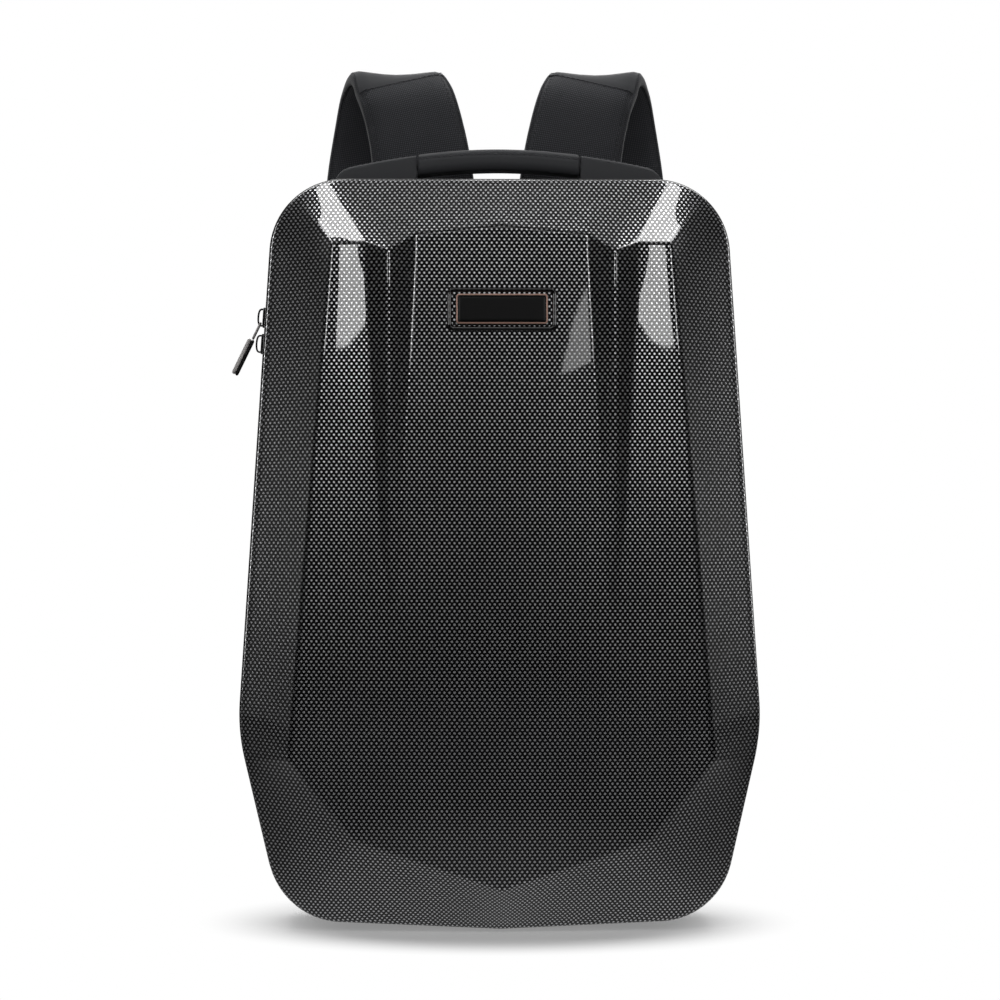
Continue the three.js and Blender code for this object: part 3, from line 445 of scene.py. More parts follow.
@dataclass(frozen=True)
class CastMetal(Finish):
    """Die-cast zinc, plated or painted and tumbled. Fine scuffs break up its shine."""

    scuff: float = 0.06

    def dress(self, tree: bpy.types.NodeTree, shader: bpy.types.Node) -> None:
        """Lays faint scuffs in the gloss.

        Args:
            tree: the material's tree.
            shader: its Principled shader.
        """
        scuffs = add_node(
            tree,
            "ShaderNodeTexNoise",
            {"Vector": object_space(tree), "Scale": 700.0, "Detail": 4.0, "Roughness": 0.7},
        )
        gloss = mixed(tree, scuffs.outputs["Fac"], self.roughness - self.scuff, self.roughness + self.scuff)
        tree.links.new(gloss, shader.inputs["Roughness"])


@dataclass(frozen=True)
class RibbedWebbing(Finish):
    """Woven polyester webbing. It gives the eye close ribs along its length."""

    rib: float = 1.5
    pick: float = 0.8
    raised: float = 0.25
    shadow: str = "101011"

    def dress(self, tree: bpy.types.NodeTree, shader: bpy.types.Node) -> None:
        """Runs ribs along the map and a fine pick across them.

        Args:
            tree: the material's tree.
            shader: its Principled shader.
        """
        space = print_space(tree)
        rib, pick = WAVE_PERIOD / (self.rib * MM), WAVE_PERIOD / (self.pick * MM)
        ribs = add_node(tree, "ShaderNodeTexWave", {"Vector": space, "Scale": rib}, bands_direction="Y")
        picks = add_node(tree, "ShaderNodeTexWave", {"Vector": space, "Scale": pick}, bands_direction="X")
        both = mixed(tree, ribs.outputs["Fac"], 0.2, picks.outputs["Fac"])
        colour = mixed(tree, both, linear(self.shadow), linear(self.colour), "RGBA")
        tree.links.new(colour, shader.inputs["Base Color"])
        relief(tree, shader, both, self.raised)


class Look(Enum):
    """The finishes of the bag."""

    SHELL = DottedPolycarbonate(
        "printed_polycarbonate_vacuum_formed", "030304", 0.5, coat=1.0, coat_roughness=0.03, specular=0.1
    )
    SEAT = MouldedPlastic("polycarbonate_badge_seat_gloss", "060607", 0.12, coat=1.0, coat_roughness=0.03)
    PIPING = MouldedPlastic("rubber_piping_extruded", "121213", 0.42)
    CLOTH = WovenCloth("polyester_plain_woven", "222326", 0.92, sheen=0.3, light="4C4D51")
    TAPE = WovenCloth("polyester_zip_tape_woven", "161618", 0.9, thread=0.8, sheen=0.15)
    TEETH = MouldedPlastic("nylon_zip_coil", "1A1A1C", 0.38, ior=1.53)
    MESH = AirMesh("polyester_spacer_mesh_knitted", "26272A", 0.9, sheen=0.3)
    STRAP = WovenCloth("polyester_strap_face_woven", "36373B", 0.88, thread=1.3, sheen=0.35, light="66676C")
    LEATHERETTE = Leatherette("polyurethane_leatherette_embossed", "4E4F52", 0.56, specular=0.35)
    BADGE = CastMetal("zinc_badge_painted_black", "050506", 0.36, specular=0.22)
    COPPER = CastMetal("zinc_badge_rim_copper_plated", "E2B6A6", 0.4, metallic=0.5)
    NICKEL = CastMetal("zinc_zip_pull_nickel_plated_satin", "F2EEEC", 0.5, metallic=0.25)
    SLIDER = CastMetal("zinc_slider_black_plated", "2A2A2C", 0.3, metallic=0.6)
    RUBBER = MouldedPlastic("rubber_pull_backing_moulded", "0D0D0E", 0.6)
    BUCKLE = MouldedPlastic("acetal_buckle_moulded", "141416", 0.45)
    WEBBING = RibbedWebbing("polyester_webbing_woven", "2C2D30", 0.85, sheen=0.2)
    THREAD = Finish("polyester_thread_bonded", "55565A", 0.6)

    def material(self) -> bpy.types.Material:
        """The finish's material."""
        return self.value.material()


# Meshes


@dataclass
class Patch:
    """Points in millimetres, quads or triangles over them, and a map for each face's corners."""

    points: np.ndarray
    faces: list[Sequence[int]]
    maps: list[Sequence[tuple[float, float]]]

    def joined(self, other: "Patch") -> "Patch":
        """This patch and another as one."""
        moved = [[i + len(self.points) for i in face] for face in other.faces]
        return Patch(np.vstack([self.points, other.points]), self.faces + moved, self.maps + other.maps)

    def mirrored(self) -> "Patch":
        """The same patch on the other side of the bag."""
        return Patch(self.points * MIRROR, self.faces, self.maps).turned()

    def mapped(self, flat: np.ndarray) -> "Patch":
        """This patch with a map in metres that is given for each point."""
        return Patch(self.points, self.faces, [[tuple(flat[i]) for i in f] for f in self.faces])

    def volume(self) -> float:
        """Six times the volume that the faces close, negative when they point inward.

        Returns:
            The volume times six, in cubic millimetres.
        """
        total = 0.0
        p = self.points
        for f in self.faces:
            for k in range(1, len(f) - 1):
                total += float(np.dot(p[f[0]], np.cross(p[f[k]], p[f[k + 1]])))
        return total

    def outward(self) -> "Patch":
        """This patch with its faces pointing outward."""
        return self.turned() if self.volume() < 0 else self

    def turned(self) -> "Patch":
        """This patch with every face and its map the other way round."""
        return Patch(self.points, [list(f)[::-1] for f in self.faces], [list(m)[::-1] for m in self.maps])


def lattice(
    points: np.ndarray,
    u_marks: np.ndarray,
    v_marks: np.ndarray,
    close_rows: bool = False,
    close_columns: bool = False,
) -> Patch:
    """Quads over a grid of points.

    Args:
        points: rows by columns by 3, in millimetres.
        u_marks: the map's place of each row, one more than the rows where they close.
        v_marks: the map's place of each column, one more than the columns where they close.
        close_rows: whether the last row joins the first.
        close_columns: whether the last column joins the first.

    Returns:
        The patch.
    """
    rows, columns = points.shape[:2]
    i, j = np.meshgrid(
        np.arange(rows if close_rows else rows - 1),
        np.arange(columns if close_columns else columns - 1),
        indexing="ij",
    )
    corners = [(i, j), (i + 1, j), (i + 1, j + 1), (i, j + 1)]
    faces = np.stack([(a % rows) * columns + b % columns for a, b in corners], -1).reshape(-1, 4)
    maps = np.stack([np.stack([u_marks[a], v_marks[b]], -1) for a, b in corners], -2).reshape(-1, 4, 2)
    return Patch(points.reshape(-1, 3), faces.tolist(), (maps * MM).tolist())


def marks(points: np.ndarray, closed: bool) -> np.ndarray:
    """Distances along a line of points, with the way back to the first where it closes.

    Args:
        points: the line's points.
        closed: whether the last point leads back to the first.

    Returns:
        The distance to each point, in the points' units.
    """
    line = np.vstack([points, points[:1]]) if closed else points
    steps = np.linalg.norm(np.diff(line, axis=0), axis=1)
    return np.concatenate([[0.0], np.cumsum(steps)])


def swept(sections: np.ndarray, closed: bool = False) -> Patch:
    """A bar or ring through closed sections, with caps where it is open.

    Args:
        sections: count by points by 3, in millimetres.
        closed: whether the last section joins the first.

    Returns:
        The patch, with u along the bar and v round it.
    """
    along = marks(sections.mean(axis=1), closed)
    widest = int(np.argmax([marks(s, True)[-1] for s in sections]))
    around = marks(sections[widest], True)
    body = lattice(sections, along, around, close_rows=closed, close_columns=True)
    if closed:
        return body
    count = sections.shape[1]
    points = np.vstack([body.points, sections[0].mean(0), sections[-1].mean(0)])
    first, end = len(points) - 2, len(points) - 1
    last = (sections.shape[0] - 1) * count
    for k in range(count):
        n = (k + 1) % count
        body.faces.append([first, k, n])
        body.faces.append([end, last + n, last + k])
        for place in (along[0], along[-1]):
            body.maps.append([(place * MM, around[k] * MM)] * 3)
    return Patch(points, body.faces, body.maps)


def make_piece(
    name: str,
    patch: Patch,
    look: Look,
    replaces: Sequence[str] = (),
    slot: str | None = None,
    body: str = BAG,
    sharp: float = 40.0,
) -> bpy.types.Object:
    """Makes a patch an object of the scene that rides on its body.

    Args:
        name: the piece's name.
        patch: its shape, in millimetres.
        look: its finish.
        replaces: the frame's nodes that it stands for.
        slot: the record's material slot; not used.
        body: the body that carries it.
        sharp: edges that turn by more degrees than this stay sharp.

    Returns:
        The object.
    """
    patch = patch.outward()
    mesh = bpy.data.meshes.new(name)
    mesh.from_pydata((patch.points * MM).tolist(), [], patch.faces)
    layer = mesh.uv_layers.new(name="surface")
    layer.data.foreach_set("uv", np.array([c for m in patch.maps for c in m], np.float32).ravel())
    mesh.shade_smooth()
    if sharp < 180:
        mesh.set_sharp_from_angle(angle=math.radians(sharp))
    mesh.materials.append(look.material())
    mesh.update()
    return place_piece(mesh, name, replaces, slot, body)


def place_piece(
    mesh: bpy.types.Mesh,
    name: str,
    replaces: Sequence[str] = (),
    slot: str | None = None,
    body: str = BAG,
    subdivide: int = 0,
) -> bpy.types.Object:
    """Puts a mesh in the scene at the origin, finishes it and lets it ride on its body.

    Args:
        mesh: the mesh, in metres and in place.
        name: the piece's name.
        replaces: the frame's nodes that it stands for.
        slot: the record's material slot; not used.
        body: the body that carries it.
        subdivide: levels of subdivision.

    Returns:
        The object.
    """
    piece = bpy.data.objects.new(name, mesh)
    bpy.context.scene.collection.objects.link(piece)
    if subdivide:
        smooth = piece.modifiers.new("smooth_surface", "SUBSURF")
        smooth.levels = subdivide
        smooth.render_levels = subdivide
        graph = bpy.context.evaluated_depsgraph_get()
        piece.data = bpy.data.meshes.new_from_object(piece.evaluated_get(graph))
        piece.modifiers.clear()
        piece.data.name = name
    if replaces:
        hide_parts(*replaces)
    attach(piece, body)
    LOG.info("%s: %d faces", name, len(piece.data.polygons))
    return piece


def rounded_box_profile(width: float, tall: float, radius: float, arc: int = 5) -> np.ndarray:
    """A rectangle with round corners, anticlockwise.

    Args:
        width: its width.
        tall: its height.
        radius: the corners' radius.
        arc: steps in each corner.

    Returns:
        Points by 2, in the units given.
    """
    radius = min(radius, width / 2, tall / 2)
    points = []
    for k, (sx, sy) in enumerate(((1, 1), (-1, 1), (-1, -1), (1, -1))):
        for step in range(arc + 1):
            turn = math.pi / 2 * (k + step / arc)
            x, y = radius * math.cos(turn), radius * math.sin(turn)
            points.append((sx * (width / 2 - radius) + x, sy * (tall / 2 - radius) + y))
    return np.array(points)


def smooth_line(knots: np.ndarray, steps: int) -> np.ndarray:
    """A centripetal Catmull-Rom line through points.

    Args:
        knots: points by dimensions.
        steps: samples in each span.

    Returns:
        The samples, the last knot included.
    """
    before = 2 * knots[0] - knots[1]
    after = 2 * knots[-1] - knots[-2]
    line = np.vstack([before, knots, after])
    gaps = np.sqrt(np.linalg.norm(np.diff(line[:, :3], axis=0), axis=1))
    samples = []
    for i in range(1, len(line) - 2):
        d0, d1, d2 = gaps[i - 1], gaps[i], gaps[i + 1]
        p0, p1, p2, p3 = line[i - 1 : i + 3]
        m1 = ((p1 - p0) / d0 - (p2 - p0) / (d0 + d1) + (p2 - p1) / d1) * d1
        m2 = ((p2 - p1) / d1 - (p3 - p1) / (d1 + d2) + (p3 - p2) / d2) * d1
        for k in range(steps):
            t = k / steps
            near = (2 * t**3 - 3 * t**2 + 1) * p1 + (t**3 - 2 * t**2 + t) * m1
            samples.append(near + (-2 * t**3 + 3 * t**2) * p2 + (t**3 - t**2) * m2)
    samples.append(line[-2])
    return np.array(samples)


@dataclass
class Strip:
    """Directions along a line whose width lies as level as its way lets it."""

    line: np.ndarray

    def __post_init__(self) -> None:
        """Works out the line's directions."""
        along = np.gradient(self.line, axis=0)
        self.along = along / np.linalg.norm(along, axis=1)[:, None]
        across = X_AXIS - self.along * (self.along @ X_AXIS)[:, None]
        self.across = across / np.linalg.norm(across, axis=1)[:, None]
        self.face = np.cross(self.across, self.along)

    def sections(self, profiles: Sequence[np.ndarray]) -> np.ndarray:
        """Lays a profile across each point of the line.

        Args:
            profiles: one points-by-2 profile for each point, across and out of the strip's face.

        Returns:
            Sections for swept.
        """
        return np.array(
            [
                point + profile[:, :1] * across + profile[:, 1:] * face
                for point, across, face, profile in zip(self.line, self.across, self.face, profiles)
            ]
        )

    def track(self, across: np.ndarray, out: np.ndarray) -> np.ndarray:
        """A line beside the strip's own, at distances across it and out of its face."""
        return self.line + self.across * across[:, None] + self.face * out[:, None]


# What repeats along a path, by Geometry Nodes


class Row(Enum):
    """What a row along a path is made of."""

    STITCHES = "stitches"
    TEETH = "teeth"


@dataclass(frozen=True)
class PathRow:
    """A row of small copies along paths: stitches of thread, or the teeth of a zip."""

    kind: Row
    pitch: float
    length: float
    width: float
    tall: float

    def tree(self) -> bpy.types.NodeTree:
        """Builds the node tree, once for each kind of row.

        Returns:
            A geometry tree with the inputs Pitch, Size and Material.
        """
        name = f"{self.kind.value}_on_path"
        made = bpy.data.node_groups.get(name)
        if made is not None:
            return made
        tree = bpy.data.node_groups.new(name, "GeometryNodeTree")
        sockets = tree.interface
        for label, kind in (("Geometry", "Geometry"), ("Pitch", "Float"), ("Size", "Vector")):
            sockets.new_socket(label, in_out="INPUT", socket_type=f"NodeSocket{kind}")
        sockets.new_socket("Material", in_out="INPUT", socket_type="NodeSocketMaterial")
        sockets.new_socket("Geometry", in_out="OUTPUT", socket_type="NodeSocketGeometry")
        given = add_node(tree, "NodeGroupInput")
        curve = add_node(tree, "GeometryNodeMeshToCurve", {"Mesh": given.outputs["Geometry"]})
        even = add_node(
            tree,
            "GeometryNodeResampleCurve",
            {"Curve": curve.outputs[0], "Length": given.outputs["Pitch"]},
            mode="LENGTH",
        )
        tangent = add_node(tree, "GeometryNodeInputTangent")
        if self.kind is Row.STITCHES:
            pivot = "AUTO"
            ball = add_node(tree, "GeometryNodeMeshIcoSphere", {"Radius": 0.5, "Subdivisions": 1})
            shape = ball.outputs["Mesh"]
        else:
            pivot = "Y"
            bar = add_node(tree, "GeometryNodeMeshCylinder", {"Vertices": 6, "Radius": 0.5, "Depth": 1.0})
            lying = {"Geometry": bar.outputs["Mesh"], "Rotation": (math.pi / 2, 0.0, 0.0)}
            shape = add_node(tree, "GeometryNodeTransform", lying).outputs[0]
        turn = add_node(
            tree,
            "FunctionNodeAlignRotationToVector",
            {"Vector": tangent.outputs[0]},
            axis="X",
            pivot_axis=pivot,
        )
        placed = add_node(
            tree,
            "GeometryNodeInstanceOnPoints",
            {
                "Points": even.outputs[0],
                "Instance": shape,
                "Rotation": turn.outputs[0],
                "Scale": given.outputs["Size"],
            },
        )
        real = add_node(tree, "GeometryNodeRealizeInstances", {"Geometry": placed.outputs[0]})
        painted = add_node(
            tree,
            "GeometryNodeSetMaterial",
            {"Geometry": real.outputs[0], "Material": given.outputs["Material"]},
        )
        add_node(tree, "NodeGroupOutput", {"Geometry": painted.outputs[0]})
        return tree

    def along(
        self,
        name: str,
        lines: Sequence[np.ndarray],
        look: Look,
        replaces: Sequence[str] = (),
        slot: str | None = None,
    ) -> bpy.types.Object:
        """Lays the row along lines of points.

        Args:
            name: the piece's name.
            lines: each a points-by-3 line, in millimetres.
            look: the copies' finish.
            replaces: the frame's nodes that they stand for.
            slot: the record's material slot; not used.

        Returns:
            One plain mesh object with every copy.
        """
        points, edges = [], []
        for line in lines:
            start = len(points)
            points.extend((line * MM).tolist())
            edges.extend([(start + k, start + k + 1) for k in range(len(line) - 1)])
        path = bpy.data.meshes.new(f"{name}_path")
        path.from_pydata(points, edges, [])
        carrier = bpy.data.objects.new(f"{name}_path", path)
        bpy.context.scene.collection.objects.link(carrier)
        modifier = carrier.modifiers.new("row", "NODES")
        modifier.node_group = self.tree()
        values = {
            "Pitch": self.pitch * MM,
            "Size": (self.length * MM, self.width * MM, self.tall * MM),
            "Material": look.material(),
        }
        for item in modifier.node_group.interface.items_tree:
            if item.in_out == "INPUT" and item.name in values:
                modifier[item.identifier] = values[item.name]
        carrier.update_tag()
        bpy.context.view_layer.update()
        graph = bpy.context.evaluated_depsgraph_get()
        mesh = bpy.data.meshes.new_from_object(carrier.evaluated_get(graph))
        bpy.data.objects.remove(carrier)
        mesh.name = name
        mesh.shade_smooth()
        return place_piece(mesh, name, replaces, slot)


STITCH = PathRow(Row.STITCHES, pitch=3.6, length=2.7, width=0.55, tall=0.55)


# The outline that the shell, the piping and the cloth share


@dataclass(frozen=True)
class OutlineCorner:
    """A corner of the outline, as shares of half the width and of the height."""

    across: float
    up: float
    radius: float


@dataclass
class Outline:
    """The bag's outline in the XZ plane, made from half of it."""

    height: float = 480.0
    half_width: float = 166.9
    keel: float = 2.2
    flat: float = 0.0
    corners: tuple[OutlineCorner, ...] = (
        OutlineCorner(0.861, 1.0, 47.0),
        OutlineCorner(1.0, 0.265, 125.0),
        OutlineCorner(0.832, 0.0174, 48.0),
    )
    degrees: float = 1.5

    def __post_init__(self) -> None:
        """Rounds the corners and measures the half outline."""
        places = [np.array([c.across * self.half_width, c.up * self.height]) for c in self.corners]
        path = [np.array([0.0, self.height, 0.0, 1.0])]
        line = [np.array([0.0, self.height]), *places, np.array([self.flat, self.keel])]
        for before, here, after, corner in zip(line, places, line[2:], self.corners):
            back = (before - here) / np.linalg.norm(before - here)
            on = (after - here) / np.linalg.norm(after - here)
            half = math.acos(float(back @ on)) / 2
            bisector = (back + on) / np.linalg.norm(back + on)
            centre = here + bisector * corner.radius / math.sin(half)
            arm = here + back * corner.radius / math.tan(half) - centre
            turn = math.pi - 2 * half
            steps = max(2, math.ceil(math.degrees(turn) / self.degrees))
            for k in range(steps + 1):
                c, s = math.cos(-turn * k / steps), math.sin(-turn * k / steps)
                spoke = np.array([arm[0] * c - arm[1] * s, arm[0] * s + arm[1] * c])
                path.append(np.concatenate([centre + spoke, spoke / np.linalg.norm(spoke)]))
        if self.flat:
            path.append(np.array([self.flat, self.keel, 0.0, -1.0]))
        path.append(np.array([0.0, self.keel, 0.0, -1.0]))
        self.path = np.array(path)
        self.marks = marks(self.path[:, :2], False)
        self.length = float(self.marks[-1])

    def at(self, share: np.ndarray) -> np.ndarray:
        """Places on the right half, with their outward directions.

        Args:
            share: shares of the half's length, from the top's middle to the bottom's.

        Returns:
            One row of x, z and the direction's x and z for each share.
        """
        where = np.clip(share, 0, 1) * self.length
        found = np.stack([np.interp(where, self.marks, self.path[:, k]) for k in range(4)], -1)
        found[:, 2:] /= np.linalg.norm(found[:, 2:], axis=1)[:, None]
        return found

    def loop(self, count: int) -> np.ndarray:
        """The whole outline, even by length and clockwise from the top's middle.

        Args:
            count: how many places.

        Returns:
            One row of x, z and the direction's x and z for each place.
        """
        share = np.arange(count) / count * 2
        right = share <= 1
        found = self.at(np.where(right, share, 2 - share))
        found[~right, 0] *= -1
        found[~right, 2] *= -1
        return found

    def share_at_height(self, z: float) -> float:
        """The share of the half's length at which it passes a height on its way down."""
        return float(np.interp(-z, -self.path[:, 1], self.marks)) / self.length

    def share_near(self, x: float, z: float) -> float:
        """The share of the half's length that lies nearest to a place."""
        away = np.hypot(self.path[:, 0] - x, self.path[:, 1] - z)
        return float(self.marks[int(np.argmin(away))]) / self.length


def inset(places: np.ndarray, inward: np.ndarray | float, y: np.ndarray | float) -> np.ndarray:
    """Outline places moved inward and given a depth.

    Args:
        places: rows of x, z and direction.
        inward: millimetres inward.
        y: the place along Y.

    Returns:
        Points by 3.
    """
    return np.stack(
        [
            places[:, 0] - places[:, 2] * inward,
            np.broadcast_to(y, places.shape[:1]),
            places[:, 1] - places[:, 3] * inward,
        ],
        -1,
    )


RIM = Outline()
BASE = Outline(keel=0.0, flat=60.0)
RIM_Y = -45.0


# Sub-assemblies


@dataclass
class Shell:
    """The moulded front: a crowned panel with two fins, bands round it and a straight wall."""

    wall: float = 2.0
    depth: float = 70.0
    top_fall: float = 20.0
    side_fall: float = 13.0
    crown_height: float = 180.0
    wall_depth_top: float = 7.0
    wall_depth_foot: float = 24.0
    shoulder: float = 3.0
    fin_height: float = 12.0
    crest_x: float = 71.0
    fin_tip: float = 211.0
    inner_spread: float = 17.0
    outer_spread: float = 14.5
    least_spread: float = 4.0
    side_rows: int = 110
    foot_rows: int = 22
    span_steps: tuple[int, ...] = (18, 7, 7, 12)
    band_steps: int = 14
    support: float = 1.5
    badge_height: float = 394.7
    crown_end: float = 23.5
    fin_spread_power: float = 0.6
    outer_foot_lift: float = 0.33
    outer_ease: float = 1.7
    wall_deepens_below: float = 0.62
    rim_shoulder: tuple[float, float] = (0.775, 0.9704)
    rim_foot: tuple[float, float] = (0.77, 0.02)
    # heights on the rim, and how much of a band's depth the print counts there
    print_stretch: tuple[tuple[float, ...], ...] = ((20.0, 110.0), (1.0, 0.3))
    corners: dict[str, tuple[float, float]] = field(
        default_factory=lambda: {
            "top_centre": (0.0, 0.9333),
            "fin_inner": (0.3176, 0.9219),
            "fin_crest": (0.4254, 0.8979),
            "fin_outer": (0.5123, 0.9094),
            "shoulder": (0.6411, 0.9094),
            "hip": (0.8029, 0.2333),
            "foot": (0.5572, 0.1292),
            "keel": (0.0, 0.064),
        }
    )

    def corner(self, name: str) -> tuple[float, float]:
        """A corner of the panel as x and z in millimetres."""
        across, up = self.corners[name]
        return across * RIM.half_width, up * RIM.height

    def crown(self, x: np.ndarray, z: np.ndarray) -> np.ndarray:
        """Depth of the crowned panel in front of the rim.

        Args:
            x: places across the bag.
            z: heights of the bag.

        Returns:
            The depths in millimetres.
        """
        top = self.corner("shoulder")[1] + self.crown_end
        up = (z - self.crown_height) / (top - self.crown_height)
        out = x / self.corner("hip")[0]
        sides = self.side_fall * out**2 * np.maximum(0, 1 - up**2)
        return self.depth - self.top_fall * up**2 - sides

    def fin_share(self, z: np.ndarray) -> np.ndarray:
        """The share of a fin's height that it has at a height of the bag.

        Args:
            z: heights of the bag.

        Returns:
            Shares from 0 to 1.
        """
        top = self.corner("fin_crest")[1]
        return np.clip((z - self.fin_tip) / (top - self.fin_tip), 0, 1)

    def fin_line(self, name: str, z: np.ndarray) -> np.ndarray:
        """A fin's inner foot, crest or outer foot at a height of the bag.

        Args:
            name: the line's corner on the panel.
            z: heights of the bag.

        Returns:
            The line's places across the bag.
        """
        spread = self.fin_share(z) ** self.fin_spread_power
        if name == "fin_inner":
            return self.crest_x - np.maximum(self.least_spread, self.inner_spread * spread)
        if name == "fin_outer":
            return self.crest_x + np.maximum(self.least_spread, self.outer_spread * spread)
        return np.full_like(z, self.crest_x)

    def side_line(self, down: np.ndarray) -> np.ndarray:
        """Half the panel's width on its way down.

        Args:
            down: shares of the way from the shoulder to the foot.

        Returns:
            Half widths in millimetres.
        """
        widths = [self.corner(n)[0] for n in ("shoulder", "hip", "foot")]
        return np.interp(down, [0, self.bend(), 1], widths)

    def bend(self) -> float:
        """The share of the panel's side at which it turns at the hip.

        Returns:
            The share.
        """
        top, hip, foot = (self.corner(n)[1] for n in ("shoulder", "hip", "foot"))
        return (top - hip) / (top - foot)

    def rows(self) -> np.ndarray:
        """The rows' shares of the way down, with close rows beside each crease.

        Returns:
            Shares from 0 to 1, in order.
        """
        bend, near = self.bend(), self.support / 400
        side = np.linspace(0, bend, self.side_rows)
        foot = np.linspace(bend, 1, self.foot_rows)
        extra = [near, bend - near, bend + near, 1 - near]
        return np.unique(np.concatenate([side, foot, extra]))

    def panel(self) -> tuple[np.ndarray, np.ndarray]:
        """The right half of the panel.

        Returns:
            Rows by columns by 3 points, and the rows' shares of the way down.
        """
        down = self.rows()
        names = ["top_centre", "fin_inner", "fin_crest", "fin_outer", "shoulder"]
        foot, keel = self.corner("foot"), self.corner("keel")
        lifts = np.array([0.0, 0.0, 1.0, self.outer_foot_lift, 0.0])
        line_x, line_z = [], []
        for name in names:
            top = self.corner(name)[1]
            if name == "top_centre":
                foot_x = 0.0
            elif name == "shoulder":
                foot_x = foot[0]
            else:
                foot_x = float(self.fin_line(name, np.array([foot[1]]))[0])
            bottom = keel[1] + (foot[1] - keel[1]) * foot_x / foot[0]
            z = top + (bottom - top) * down
            line_z.append(z)
            if name == "top_centre":
                line_x.append(np.zeros_like(z))
            elif name == "shoulder":
                line_x.append(self.side_line(down))
            else:
                line_x.append(self.fin_line(name, z))
        columns = []
        for k, steps in enumerate(self.span_steps):
            width = abs(self.corner(names[k + 1])[0] - self.corner(names[k])[0])
            near = self.support / width
            shares = np.unique(np.concatenate([np.linspace(0, 1, steps + 1), [near, 1 - near]]))
            for share in shares[(0 if k == 0 else 1) :]:
                x = line_x[k] + (line_x[k + 1] - line_x[k]) * share
                z = line_z[k] + (line_z[k + 1] - line_z[k]) * share
                ease = share if k < 3 else 1 - (1 - share) ** self.outer_ease
                lift = lifts[k] + (lifts[k + 1] - lifts[k]) * ease
                depth = self.crown(x, z) + self.fin_height * lift * self.fin_share(z)
                columns.append(np.stack([x, RIM_Y - depth, z], -1))
        return np.stack(columns, 1), down

    def rim_shares(self, grid: np.ndarray, down: np.ndarray) -> tuple[np.ndarray, np.ndarray]:
        """Where each place on the panel's edge looks to the rim.

        Args:
            grid: the panel's points.
            down: its rows' shares of the way down.

        Returns:
            The edge's points from the top's middle round to the bottom's, and their rim shares.
        """
        sizes = (RIM.half_width, RIM.height)
        shoulder = RIM.share_near(*np.multiply(self.rim_shoulder, sizes))
        hip = RIM.share_at_height(self.corner("hip")[1])
        foot = RIM.share_near(*np.multiply(self.rim_foot, sizes))
        bend = self.bend()
        top, side, keel = grid[0], grid[1:, -1], grid[-1, -2::-1]
        edge = np.vstack([top, side, keel])
        shares = np.concatenate(
            [
                shoulder * top[:, 0] / top[-1, 0],
                np.interp(down[1:], [0, bend, 1], [shoulder, hip, foot]),
                foot + (1 - foot) * (1 - keel[:, 0] / grid[-1, -1, 0]),
            ]
        )
        return edge, shares

    def bands(self, edge: np.ndarray, shares: np.ndarray) -> tuple[np.ndarray, np.ndarray]:
        """Rows of points from the panel's edge out over the wall to the rim and in behind it.

        Args:
            edge: the panel's edge points.
            shares: their rim shares.

        Returns:
            Rows by places by 3 points, and the same for the map's x and z.
        """
        places = RIM.at(shares)
        places[0, 2:] = (0, 1)
        places[-1, 2:] = (0, -1)
        low = np.clip(1 - places[:, 1] / (self.wall_deepens_below * RIM.height), 0, 1)
        depth = self.wall_depth_top + (self.wall_depth_foot - self.wall_depth_top) * low**2
        s = self.shoulder
        start = inset(places, 0.8 * s, RIM_Y - depth - s)
        steps = [0.035, *np.linspace(0, 1, self.band_steps + 1)[1:-1], 0.96]
        rows = [edge] + [edge + (start - edge) * k for k in steps] + [start]
        rows.append(inset(places, 0.2 * s, RIM_Y - depth - 0.4 * s))
        rows.append(inset(places, 0.0, RIM_Y - depth))
        for share in (0.4, 0.8):
            rows.append(inset(places, 0.0, RIM_Y - depth * (1 - share)))
        rows.append(inset(places, 0.0, RIM_Y - 0.4))
        rows.append(inset(places, 0.0, np.full(len(places), RIM_Y)))
        stack = np.array(rows)
        flat = stack[:, :, [0, 2]]
        outward = places[:, :2] - edge[:, [0, 2]]
        outward /= np.linalg.norm(outward, axis=1)[:, None]
        steps_flat = np.linalg.norm(np.diff(flat, axis=0), axis=2)
        steps_deep = np.abs(np.diff(stack[:, :, 1], axis=0))
        on_band = np.interp(places[:, 1], *self.print_stretch)[None, :]
        stretch = np.where((np.arange(len(stack) - 1) < len(steps) + 1)[:, None], on_band, 0.85)
        grown = np.hypot(steps_flat, stretch * steps_deep)
        run = np.vstack([np.zeros((1, len(edge))), np.cumsum(grown, axis=0)])
        maps = edge[None, :, [0, 2]] + outward[None] * run[:, :, None]
        back = [
            inset(places, self.wall, np.full(len(places), RIM_Y)),
            inset(places, self.wall, RIM_Y - depth),
        ]
        for share in (0.06, 0.4, 0.75):
            x = edge[:, 0] * (1 - share)
            z = edge[:, 2] + (RIM.height / 2 - edge[:, 2]) * share
            back.append(np.stack([x, RIM_Y - (self.crown(x, z) - 2.5 * self.wall), z], -1))
        inner = np.array(back)
        return np.vstack([stack, inner]), np.vstack([maps, inner[:, :, [0, 2]]])

